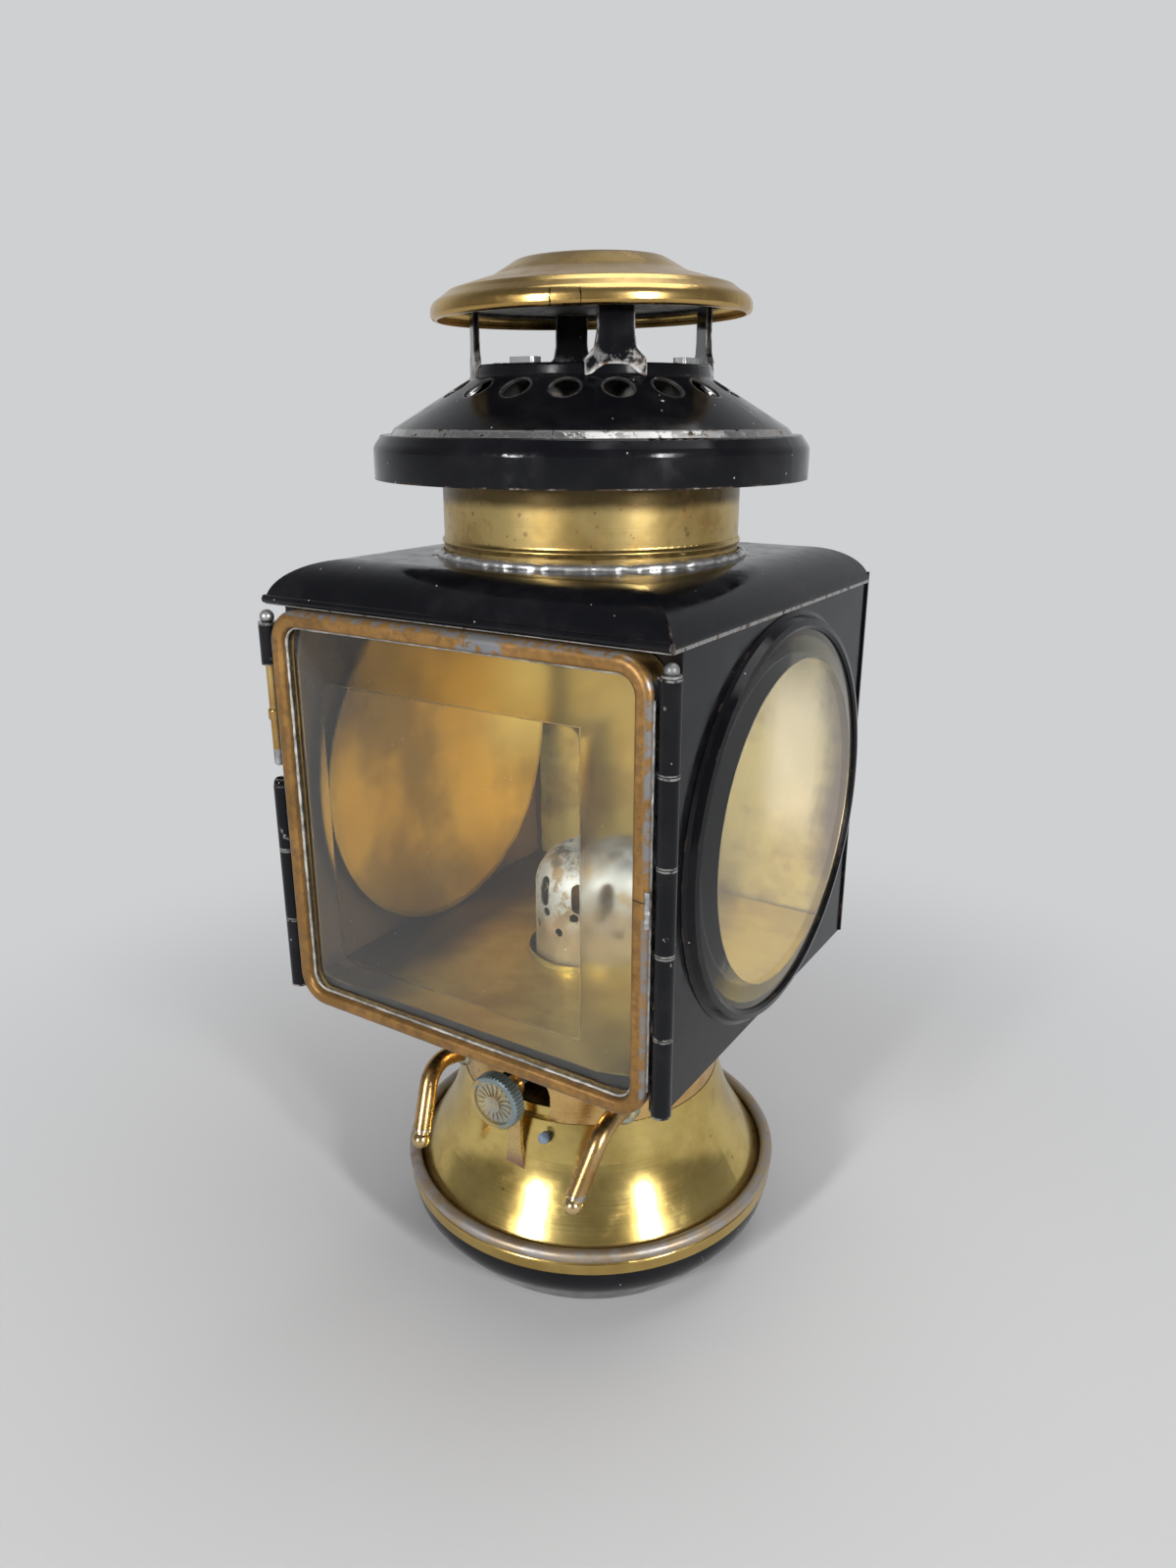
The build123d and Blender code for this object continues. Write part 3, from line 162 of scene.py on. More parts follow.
class Finish(Nodes):
    """A material and the patterns that it is made of."""

    def __init__(self, name):
        self.material = bpy.data.materials.new(name)
        self.material.use_nodes = True
        super().__init__(self.material.node_tree)
        self.tree.nodes.clear()
        self.shader = self.add("ShaderNodeBsdfPrincipled")
        self.output = self.add("ShaderNodeOutputMaterial")
        self.join(self.shader.outputs["BSDF"], self.output.inputs["Surface"])
        self.place = self.add("ShaderNodeTexCoord").outputs["Object"]
        self.bumps = None

    def set(self, **values):
        for key, value in values.items():
            self.put(value, self.shader.inputs[key.replace("_", " ")])

    def stretched(self, stretch):
        node = self.add("ShaderNodeMapping")
        self.join(self.place, node.inputs["Vector"])
        node.inputs["Scale"].default_value = stretch
        return node.outputs["Vector"]

    def noise(self, size, detail=4.0, rough=0.55, stretch=None, where=None):
        """Noise with features of about the given size in metres."""
        node = self.add("ShaderNodeTexNoise")
        self.join(where or (self.stretched(stretch) if stretch else self.place), node.inputs["Vector"])
        node.inputs["Scale"].default_value = 1.0 / size
        node.inputs["Detail"].default_value = detail
        node.inputs["Roughness"].default_value = rough
        return node.outputs["Fac"]

    def specks(self, spacing, radius, share=1.0):
        """Round specks on a random grid; share is how many of the places hold one."""
        node = self.add("ShaderNodeTexVoronoi")
        self.join(self.place, node.inputs["Vector"])
        node.inputs["Scale"].default_value = 1.0 / spacing
        spot = self.span(node.outputs["Distance"], radius / spacing, radius / spacing * 0.6)
        pick = self.add("ShaderNodeSeparateColor")
        self.join(node.outputs["Color"], pick.inputs[0])
        return self.times(spot, self.math("LESS_THAN", pick.outputs[0], share))

    def axes(self):
        node = self.add("ShaderNodeSeparateXYZ")
        self.join(self.place, node.inputs[0])
        return node.outputs

    def length(self, a, b):
        return self.math("SQRT", self.math("ADD", self.times(a, a), self.times(b, b)))

    def radius(self):
        """Distance from the lamp's upright axis."""
        x, y, _ = self.axes()
        return self.length(x, y)

    def around(self, size, detail=3.0, rough=0.5):
        """Noise drawn out into rings about the lamp's axis, as a lathe leaves."""
        where = self.add("ShaderNodeCombineXYZ")
        self.put(self.radius(), where.inputs[0])
        self.put(self.axes()[2], where.inputs[2])
        return self.noise(size, detail, rough, where=where.outputs[0])

    def band(self, value, centre, half, feather):
        """1 where a value lies within half of a centre, fading over the feather."""
        away = self.math("ABSOLUTE", self.math("SUBTRACT", value, centre))
        return self.span(away, half + feather, half)

    def edge(self, radius, start=0.02, end=0.25):
        """1 along sharp outer and inner corners."""
        bevel = self.add("ShaderNodeBevel", samples=4)
        bevel.inputs["Radius"].default_value = radius
        plain = self.add("ShaderNodeNewGeometry").outputs["Normal"]
        dot = self.add("ShaderNodeVectorMath", operation="DOT_PRODUCT")
        self.join(bevel.outputs[0], dot.inputs[0])
        self.join(plain, dot.inputs[1])
        return self.span(self.math("SUBTRACT", 1.0, dot.outputs["Value"]), start, end)

    def hollow(self, distance):
        """1 in crevices, 0 in the open."""
        node = self.add("ShaderNodeAmbientOcclusion", samples=4)
        node.inputs["Distance"].default_value = distance
        return self.span(node.outputs["AO"], 0.75, 0.25)

    def bump(self, height, depth):
        """Add relief of about the given depth in metres."""
        node = self.add("ShaderNodeBump")
        node.inputs["Distance"].default_value = depth
        node.inputs["Strength"].default_value = 1.0
        self.join(height, node.inputs["Height"])
        if self.bumps is not None:
            self.join(self.bumps, node.inputs["Normal"])
        self.bumps = node.outputs["Normal"]
        self.join(self.bumps, self.shader.inputs["Normal"])

    def lets_lamps_through(self):
        """Lamps light what is behind this glass."""
        clear = self.add("ShaderNodeBsdfTransparent")
        path = self.add("ShaderNodeLightPath").outputs["Is Shadow Ray"]
        mixed = self.add("ShaderNodeMixShader")
        self.join(path, mixed.inputs[0])
        self.join(self.shader.outputs["BSDF"], mixed.inputs[1])
        self.join(clear.outputs[0], mixed.inputs[2])
        self.join(mixed.outputs[0], self.output.inputs["Surface"])


# Colours

ENAMEL = (0.004, 0.0042, 0.0055)
ENAMEL_DULL = (0.011, 0.011, 0.013)
UNDERCOAT = (0.10, 0.055, 0.03)
BARE_STEEL = (0.40, 0.395, 0.385)
DUST = (0.42, 0.41, 0.40)
BRASS_BRIGHT = (0.80, 0.60, 0.25)
BRASS_MID = (0.60, 0.42, 0.15)
BRASS_BROWN = (0.30, 0.15, 0.05)
TARNISH = (0.07, 0.045, 0.025)
LINING_LIGHT = (0.56, 0.43, 0.14)
LINING_DARK = (0.32, 0.22, 0.07)
# Painted highlight: cream for a patch on the back wall's inside.
LINING_HIGHLIGHT_CREAM = (0.86, 0.72, 0.48)
# Dark brown of painted shade inside the lantern; it also darkens the back wall's right end.
LINING_SHADE_BROWN = (0.090, 0.050, 0.027)
# Dark brown of a painted shadow on the lantern's floor.
FLOOR_SHADE_BROWN = (0.060, 0.036, 0.020)
REFLECTOR_LIGHT = (0.74, 0.46, 0.08)
REFLECTOR_DARK = (0.40, 0.26, 0.05)
# Pale gold of a painted highlight, and dark brown of painted shade, on the reflector.
REFLECTOR_HIGHLIGHT = (0.95, 0.80, 0.32)
REFLECTOR_SHADE = (0.12, 0.075, 0.04)
RUST = (0.20, 0.10, 0.05)
STEEL_GRIME = (0.03, 0.028, 0.025)
COTTON_LIGHT = (0.55, 0.46, 0.32)
COTTON_DARK = (0.36, 0.27, 0.16)
CHAR = (0.015, 0.013, 0.012)
# Dark brown of the hood's painted shadow on the neck.
NECK_SHADOW = (0.045, 0.03, 0.015)
RUBBED_BEAD = (0.36, 0.33, 0.31)
KNOB_SALTS = (0.24, 0.30, 0.31)
CROWN_DULL = (0.26, 0.20, 0.10)
CAP_RIM_BROWN = (0.42, 0.24, 0.07)
CAP_CRACK = (0.05, 0.03, 0.02)
BEZEL_MOTTLE = (0.15, 0.085, 0.035)
BEZEL_PIT = (0.07, 0.035, 0.015)
BEZEL_SILVER = (0.22, 0.225, 0.235)
BEZEL_RIM = (0.24, 0.235, 0.23)
BEZEL_CRACK = (0.03, 0.02, 0.015)
FRAME_SILVER = (0.40, 0.39, 0.38)
TUBE_END = (0.42, 0.40, 0.38)
SALT_WHITE = (0.62, 0.66, 0.58)
SALT_GREEN = (0.34, 0.42, 0.36)
HEAT_PURPLE = (0.30, 0.13, 0.20)
BURNER_CRUST = (0.34, 0.34, 0.31)
BURNER_SOOT = (0.05, 0.045, 0.04)
BRIGHT_SOLDER = (0.70, 0.70, 0.70)
OLD_SOLDER = (0.42, 0.42, 0.41)
PUTTY = (0.60, 0.58, 0.53)
DOOR_GLASS = (0.95, 0.965, 0.95)
DOOR_BEVEL = (0.96, 0.97, 0.93)
LENS_GLASS = (0.92, 0.95, 0.92)
LENS_BEVEL = (0.07, 0.085, 0.078)
WORN_GREY = (0.52, 0.52, 0.52)
FLUE_GREY = (0.10, 0.095, 0.09)
STUD_GREY = (0.13, 0.16, 0.20)


# Finishes


def enamel_coat(f, worn, wear_and_highlight_at):
    """Stoved black enamel: glossy, dusty in specks, worn to brown and bare metal along its edges."""
    cloud = f.noise(18 * MM, 5)
    fine = f.noise(2.2 * MM, 5, 0.65)
    base = f.mix(f.span(cloud, 0.45, 0.75), ENAMEL, ENAMEL_DULL)
    dust = f.most(f.specks(4 * MM, 0.26 * MM, 0.45), f.specks(11 * MM, 0.5 * MM, 0.22))
    rubbed = f.edge(0.9 * MM, 0.03, 0.3)
    patch = f.noise(7 * MM, 5, 0.6)
    eased = 0.3 * worn
    brown = f.times(rubbed, f.span(patch, 0.66 - eased, 0.76 - eased))
    bare = f.times(rubbed, f.span(fine, 0.70 - eased, 0.82 - eased),
                   f.span(patch, 0.70 - eased, 0.80 - eased))
    # Wear placed on one piece; on the eaves, the hood's ring and holes, and the posts' feet, its bare metal
    # is also a painted highlight.
    if wear_and_highlight_at is not None:
        placed = wear_and_highlight_at(f)
        brown = f.most(brown, f.times(placed, f.span(patch, 0.50, 0.60)))
        bare = f.most(bare, f.times(placed, f.span(fine, 0.36, 0.48)))
    colour = f.mix(dust, base, DUST)
    colour = f.mix(brown, colour, UNDERCOAT)
    colour = f.mix(bare, colour, BARE_STEEL)
    rough = f.span(f.noise(6 * MM, 4), 0.35, 0.7, 0.11, 0.23)
    rough = f.math("ADD", rough, f.times(f.most(dust, brown), 0.35))
    f.set(Specular_IOR_Level=0.22)
    f.bump(f.noise(1.6 * MM, 3), 0.012 * MM)
    f.bump(f.math("SUBTRACT", 1.0, brown), 0.06 * MM)
    return colour, rough, f.times(bare, 0.9)


def black_enamel(name, worn, wear_and_highlight_at=None):
    f = Finish(name)
    colour, rough, metal = enamel_coat(f, worn, wear_and_highlight_at)
    f.set(Base_Color=colour, Roughness=rough, Metallic=metal)
    return f.material


def lined_enamel(name, worn):
    """The same enamel outside, and the tarnished brass lining of the lantern inside, with a painted highlight
    and painted shade on the lining.
    """
    f = Finish(name)
    colour, rough, metal = enamel_coat(f, worn, None)
    x, y, z = f.axes()
    within = f.times(f.math("LESS_THAN", f.math("ABSOLUTE", x), body_side - wall_half),
                     f.math("LESS_THAN", y, body_back - wall_half),
                     f.math("GREATER_THAN", y, body_front + wall_half))
    stain = f.noise(26 * MM, 5, 0.6)
    fine = f.noise(3 * MM, 4)
    lining = f.mix(f.span(stain, 0.42, 0.68), LINING_LIGHT, LINING_DARK)
    lining = f.mix(f.span(fine, 0.62, 0.72, 0.0, 0.4), lining, TARNISH)
    at_back = f.math("GREATER_THAN", y, body_back - 3 * MM)
    # Painted highlight: a cream patch on the back wall's inside, halfway up.
    pale = f.times(f.band(x, 38 * MM, 4 * MM, 10 * MM), f.band(z, mid_z, 14 * MM, 22 * MM))
    lining = f.mix(f.times(at_back, pale, 0.8), lining, LINING_HIGHLIGHT_CREAM)
    # Darker brown toward the back wall's right end, and painted shade on the left wall behind the reflector
    # and along the lining's top under the roof.
    dark_back_and_painted_shade = f.times(at_back, f.span(f.wander(x, stain, 16 * MM), 42 * MM, 53 * MM))
    reflector_shadow = f.math("LESS_THAN", x, -body_side + 3 * MM)
    dark_back_and_painted_shade = f.most(dark_back_and_painted_shade, reflector_shadow, f.span(z, eaves - 22 * MM, eaves - 4 * MM))
    lining = f.mix(f.times(dark_back_and_painted_shade, 0.96), lining, LINING_SHADE_BROWN)
    f.set(Base_Color=f.mix(within, colour, lining),
          Roughness=f.blend(within, rough, f.span(stain, 0.3, 0.7, 0.30, 0.42)),
          Metallic=f.blend(within, metal, f.span(dark_back_and_painted_shade, 0.0, 1.0, 0.7, 0.55)))
    return f.material


def brass(name, light=BRASS_BRIGHT, dark=BRASS_MID, rough=0.22, tarnish=0.4, spun=True, spots=0.3,
          extra=None, metal=1.0):
    """Old brass, polished now and then: rings or rubbing marks, brown spots, dark crevices, bright edges."""
    f = Finish(name)
    cloud = f.noise(22 * MM, 5, 0.6)
    fine = f.noise(1.8 * MM, 5, 0.6)
    colour = f.mix(f.span(cloud, 0.38, 0.68), light, dark)
    stain = f.times(f.span(f.noise(7 * MM, 6, 0.65), 0.52, 0.72), tarnish)
    colour = f.mix(stain, colour, BRASS_BROWN)
    freckles = f.most(f.specks(4.5 * MM, 0.7 * MM, spots), f.specks(2.1 * MM, 0.25 * MM, spots))
    colour = f.mix(f.times(freckles, 0.6), colour, BRASS_BROWN)
    grime = f.times(f.hollow(3 * MM), f.span(fine, 0.2, 0.6))
    colour = f.mix(f.times(grime, 0.75), colour, TARNISH)
    colour = f.mix(f.times(f.edge(0.5 * MM), 0.5), colour, light)
    if extra is not None:
        colour = extra(f, colour)
    marks = f.around(0.35 * MM) if spun else f.noise(0.9 * MM, 3, stretch=(0.15, 1.0, 1.0))
    shine = f.span(marks, 0.3, 0.7, rough - 0.01, rough + 0.03)
    shine = f.math("ADD", shine, f.times(f.most(stain, grime), 0.35))
    f.set(Base_Color=colour, Roughness=shine, Metallic=f.span(grime, 0.0, 1.0, metal, metal * 0.6))
    f.bump(marks, 0.0005 * MM)
    f.bump(f.noise(9 * MM, 2), 0.08 * MM)
    return f.material


def steel(name, tone, rough=0.35, rust=0.2):
    """Grey metal: zinc, solder or bare steel, with dull patches and a little rust."""
    f = Finish(name)
    cloud = f.noise(4 * MM, 5, 0.6)
    dark = tuple(c * 0.45 for c in tone)
    colour = f.mix(f.span(cloud, 0.35, 0.7), tone, dark)
    brown = f.times(f.span(f.noise(2.5 * MM, 5), 0.56, 0.7), rust)
    colour = f.mix(brown, colour, RUST)
    colour = f.mix(f.times(f.hollow(1.5 * MM), 0.7), colour, STEEL_GRIME)
    f.set(Base_Color=colour, Roughness=f.span(cloud, 0.3, 0.7, rough, rough + 0.2), Metallic=0.85)
    f.bump(f.noise(0.8 * MM, 4), 0.03 * MM)
    return f.material


def clear_glass(name, tint, bevel_tint, bevel_haze, outward, land):
    """Thick glass with a clouded bevel: outward measures from its middle, and land is where the flat ends."""
    f = Finish(name)
    dust = f.specks(3.2 * MM, 0.16 * MM, 0.35)
    out = outward(f)
    bevel = f.span(out, land - 0.25 * MM, land + 0.25 * MM)
    line = f.times(f.band(out, land, 0.08 * MM, 0.2 * MM), 0.5)
    film = f.span(f.noise(14 * MM, 5, 0.6), 0.45, 0.8, 0.02, 0.07)
    cloudy = f.span(f.noise(10 * MM, 4, 0.6), 0.3, 0.7, bevel_haze * 0.6, bevel_haze * 1.3)
    film = f.math("ADD", film, f.times(bevel, cloudy))
    film = f.math("ADD", film, f.times(f.most(dust, line), 0.45))
    f.set(Base_Color=f.mix(bevel, tint, bevel_tint), Roughness=film)
    f.set(Transmission_Weight=1.0, IOR=1.5)
    f.bump(f.noise(16 * MM, 2), 0.05 * MM)
    f.lets_lamps_through()
    return f.material


def mirror_brass(name):
    """The reflector's face: gold, with a painted highlight toward the back and painted shade toward its front
    and at its foot.
    """
    f = Finish(name)
    _, y, z = f.axes()
    cloud = f.noise(30 * MM, 3, 0.5)
    colour = f.mix(f.span(cloud, 0.35, 0.65), REFLECTOR_LIGHT, REFLECTOR_DARK)
    # Painted highlight: paler gold toward the back, halfway up.
    pale = f.times(f.span(y, 12 * MM, 42 * MM), f.span(z, mid_z - 20 * MM, mid_z + 8 * MM))
    colour = f.mix(f.times(pale, 0.8), colour, REFLECTOR_HIGHLIGHT)
    # Painted shade: darker toward the front's top and at the foot.
    front = f.shifted(y, f.noise(12 * MM, 4), -26 * MM)
    painted_shade = f.times(f.span(front, -36 * MM, -56 * MM), f.span(z, mid_z, mid_z + 30 * MM))
    foot = f.span(z, mid_z - 22 * MM, mid_z - 48 * MM)
    painted_shade = f.most(painted_shade, f.times(foot, 0.55))
    colour = f.mix(f.times(painted_shade, 0.85), colour, REFLECTOR_SHADE)
    f.set(Base_Color=colour, Roughness=f.span(cloud, 0.3, 0.7, 0.34, 0.44), Metallic=0.85)
    f.bump(f.noise(22 * MM, 1), 0.03 * MM)
    return f.material


def cotton(name):
    """Flat woven wick, oily brown, charred at its upper end."""
    f = Finish(name)
    _, y, z = f.axes()
    row, thread = 1.1 * MM, 0.9 * MM
    across_rows = f.math("SINE", f.times(z, 2 * math.pi / row))
    along_rows = f.math("SINE", f.times(y, 2 * math.pi / thread))
    colour = f.mix(f.span(f.noise(5 * MM), 0.3, 0.7), COTTON_LIGHT, COTTON_DARK)
    burnt = f.span(z, high("wick").z - 7 * MM, high("wick").z - 2 * MM)
    f.set(Base_Color=f.mix(burnt, colour, CHAR), Roughness=0.9)
    f.bump(f.times(across_rows, along_rows), 0.15 * MM)
    return f.material


# Wear that belongs to one place


def square_out(f):
    """How far a point of the door's glass lies from its middle, measured square."""
    x, _, z = f.axes()
    off = f.math("ABSOLUTE", f.math("SUBTRACT", z, bezel_mid_z))
    return f.most(f.math("ABSOLUTE", x), off)


def square_glass_out(f):
    """The same on the glass's outer face, and nothing on its inner one."""
    return f.times(square_out(f), f.math("LESS_THAN", f.axes()[1], bezel_high.y + 1 * MM))


def round_out(f):
    """How far a point of the side glass's outer face lies from its axis."""
    x, y, z = f.axes()
    return f.times(f.length(y, f.math("SUBTRACT", z, mid_z)), f.math("GREATER_THAN", x, body_side))


# A line along the eaves, worn to brown and bare metal; the bare silver there is a painted highlight.
def eaves_wear_and_highlight(f):
    return f.times(f.band(f.axes()[2], eaves + 0.3 * MM, 0.3 * MM, 0.4 * MM), 0.75)


def roof_wear_and_highlight(f):
    """The roof's eaves, worn brown and bare along a line that is also a painted highlight, and solder smeared
    round the neck.
    """
    ragged = f.shifted(f.radius(), f.noise(6 * MM, 4, 0.7), -9 * MM)
    return f.most(f.span(ragged, neck_radius - 1.0 * MM, neck_radius - 1.8 * MM), eaves_wear_and_highlight(f))


def hood_ring_wear_and_highlight(f):
    """The hood's ring between rim and cone, and the edges of its holes, rubbed to brown and silver; the
    silver is also a painted highlight.
    """
    ring = f.band(f.radius(), hood_ring_radius, 1.0 * MM, 0.6 * MM)
    holes = f.times(f.band(f.radius(), hood_hole_circle, 4.0 * MM, 0.8 * MM), f.edge(1.2 * MM, 0.01, 0.15))
    return f.most(ring, holes)


def post_foot_wear_and_highlight(f):
    """The posts' feet, bent over the hood's mouth and worn bright; the bright wear is also a painted
    highlight.
    """
    foot = low("cap_posts").z
    worn = f.span(f.noise(3 * MM, 4, 0.6), 0.46, 0.60)
    return f.times(f.times(worn, 0.6), f.span(f.axes()[2], foot + 7.5 * MM, foot + 4 * MM))


def hinge_wear(f):
    """Small patches on the hinge barrels, and worn ends where they meet."""
    patch = f.times(f.span(f.noise(6 * MM, 4, 0.6), 0.64, 0.68), 0.8)
    foot = low("knuckles_door").z
    pitch = (high("knuckles_door").z - foot) / hinge_joints
    from_joint = f.math("PINGPONG", f.math("SUBTRACT", f.axes()[2], foot), pitch / 2)
    ends = f.times(f.span(from_joint, 0.7 * MM, 0.3 * MM), f.span(f.noise(1.5 * MM, 4), 0.35, 0.6))
    return f.most(patch, ends)


def neck_tones(f, colour):
    """Painted shadow under the hood, and brown freckles below it."""
    top = low("vent_hood").z
    # Painted shadow of the hood across the neck's top.
    ragged = f.shifted(f.axes()[2], f.noise(12 * MM, 3), 3 * MM)
    shade = f.span(ragged, top - 5.5 * MM, top - 2.5 * MM)
    colour = f.mix(f.times(shade, 0.85), colour, NECK_SHADOW)
    spots = f.most(f.specks(4 * MM, 0.85 * MM, 0.5), f.specks(2.6 * MM, 0.4 * MM, 0.5))
    return f.mix(f.times(spots, 0.55), colour, RUST)


def bead_tones(f, colour):
    """Grey, rubbed patches along the wire round the font."""
    return f.mix(f.span(f.noise(7 * MM, 5, 0.65), 0.42, 0.60), colour, RUBBED_BEAD)


def knob_tones(f, colour):
    """Green-grey salts over the thumb wheel's brass, thicker toward one side."""
    x, _, z = f.axes()
    middle = (low("knob_rim").z + high("knob_rim").z) / 2
    aside = f.math("ADD", x, f.math("SUBTRACT", z, middle))
    uneven = f.span(f.noise(3 * MM, 5, 0.65), 0.3, 0.7, -0.5, 0.5)
    salts = f.math("ADD", f.span(aside, -6 * MM, 8 * MM), uneven)
    return f.mix(f.span(salts, 0.35, 0.6), colour, KNOB_SALTS)


def cap_tones(f, colour):
    """Duller crown, browner rim and two fine cracks on the cap's edge."""
    x, y, z = f.axes()
    rim_z = low("cap").z
    crown = f.span(f.radius(), 24 * MM, 17 * MM)
    colour = f.mix(f.times(crown, 0.7), colour, CROWN_DULL)
    lower = f.span(z, rim_z + 4 * MM, rim_z + 0.5 * MM)
    colour = f.mix(f.times(lower, 0.6), colour, CAP_RIM_BROWN)
    for angle in cap_crack_angles:
        turn = math.radians(angle)
        off = f.math("ADD", f.times(x, math.sin(turn)), f.times(y, -math.cos(turn)))
        line = f.band(f.wander(off, f.noise(3 * MM), 2.0 * MM), 0.0, 0.10 * MM, 0.08 * MM)
        line = f.times(line, f.span(z, rim_z + 5 * MM, rim_z + 4 * MM), f.math("LESS_THAN", y, 0.0))
        colour = f.mix(line, colour, CAP_CRACK)
    return colour


def bezel_tones(f, colour):
    """Orange-brown patina, pits, a silver patch where the top was rubbed, a dull rim and a cracked joint."""
    x, _, z = f.axes()
    top = bezel_high.z
    patch = f.times(f.band(f.wander(x, f.noise(4 * MM, 4), 12 * MM), rubbed_patch_x, 5.0 * MM, 0.5 * MM),
                    f.span(z, top - 4.6 * MM, top - 3.6 * MM),
                    f.span(f.noise(3.2 * MM, 4, 0.65), 0.42, 0.47))
    mottle = f.times(f.span(f.noise(3 * MM, 6, 0.7), 0.42, 0.62), 0.6)
    colour = f.mix(mottle, colour, BEZEL_MOTTLE)
    colour = f.mix(f.times(f.specks(2.0 * MM, 0.22 * MM, 0.5), 0.8), colour, BEZEL_PIT)
    colour = f.mix(patch, colour, BEZEL_SILVER)
    rim = f.times(f.span(square_out(f), door_half - 1.7 * MM, door_half - 1.0 * MM),
                  f.span(f.noise(3 * MM, 5, 0.65), 0.42, 0.58))
    colour = f.mix(rim, colour, BEZEL_RIM)
    joint = f.wander(f.math("SUBTRACT", z, bezel_joint_z), f.noise(2 * MM), 1.6 * MM)
    crack = f.times(f.band(joint, 0.0, 0.14 * MM, 0.1 * MM), f.math("GREATER_THAN", x, door_half - 6 * MM))
    return f.mix(crack, colour, BEZEL_CRACK)


def silvered_side(f, colour):
    """The door frame's outer walls, where the brass has gone to bare solder grey."""
    side = f.span(f.math("ABSOLUTE", f.axes()[0]), door_half - 1.0 * MM, door_half - 0.3 * MM)
    return f.mix(f.times(side, f.span(f.noise(4 * MM, 5, 0.65), 0.36, 0.5)), colour, FRAME_SILVER)


def tube_tones(f, colour):
    """Grey solder at the tubes' lower ends."""
    foot = low("draught_tube_left").z
    end = f.band(f.axes()[2], foot + 1.2 * MM, 1.4 * MM, 0.6 * MM)
    return f.mix(f.times(end, 0.85), colour, TUBE_END)


def flange_tones(f, colour):
    """White and green salts on the solder round the tubes."""
    salt = f.span(f.noise(2.2 * MM, 5, 0.7), 0.40, 0.58)
    return f.mix(salt, colour, f.mix(f.span(f.noise(5 * MM), 0.4, 0.6), SALT_WHITE, SALT_GREEN))


def strap_tones(f, colour):
    """Purple heat marks at the strap's foot."""
    foot = low("shaft_strap").z
    return f.mix(f.times(f.span(f.axes()[2], foot + 7 * MM, foot), 0.6), colour, HEAT_PURPLE)


def floor_shade(f, colour):
    """Painted shadow: dark brown on the lantern's floor beside the reflector."""
    ragged = f.shifted(f.axes()[0], f.noise(14 * MM, 3), 10 * MM)
    return f.mix(f.times(f.span(ragged, -20 * MM, -36 * MM), 0.95), colour, FLOOR_SHADE_BROWN)


def burner_tones(f, colour):
    """Pale crust and soot near the burner's crown."""
    z = f.axes()[2]
    top = high("burner_tube").z
    near = f.span(z, top - 26 * MM, top - 12 * MM)
    colour = f.mix(f.times(near, f.span(f.noise(6 * MM, 5, 0.65), 0.42, 0.52)), colour, BURNER_CRUST)
    soot = f.times(f.span(z, top - 8 * MM, top), f.span(f.noise(4 * MM, 4), 0.4, 0.6))
    return f.mix(soot, colour, BURNER_SOOT)


def font_tones(f, colour):
    """Browner toward the cone's foot."""
    base = low("font_cone").z
    foot = f.span(f.axes()[2], base + 9 * MM, base + 4 * MM)
    return f.mix(f.times(foot, 0.35), colour, BRASS_BROWN)


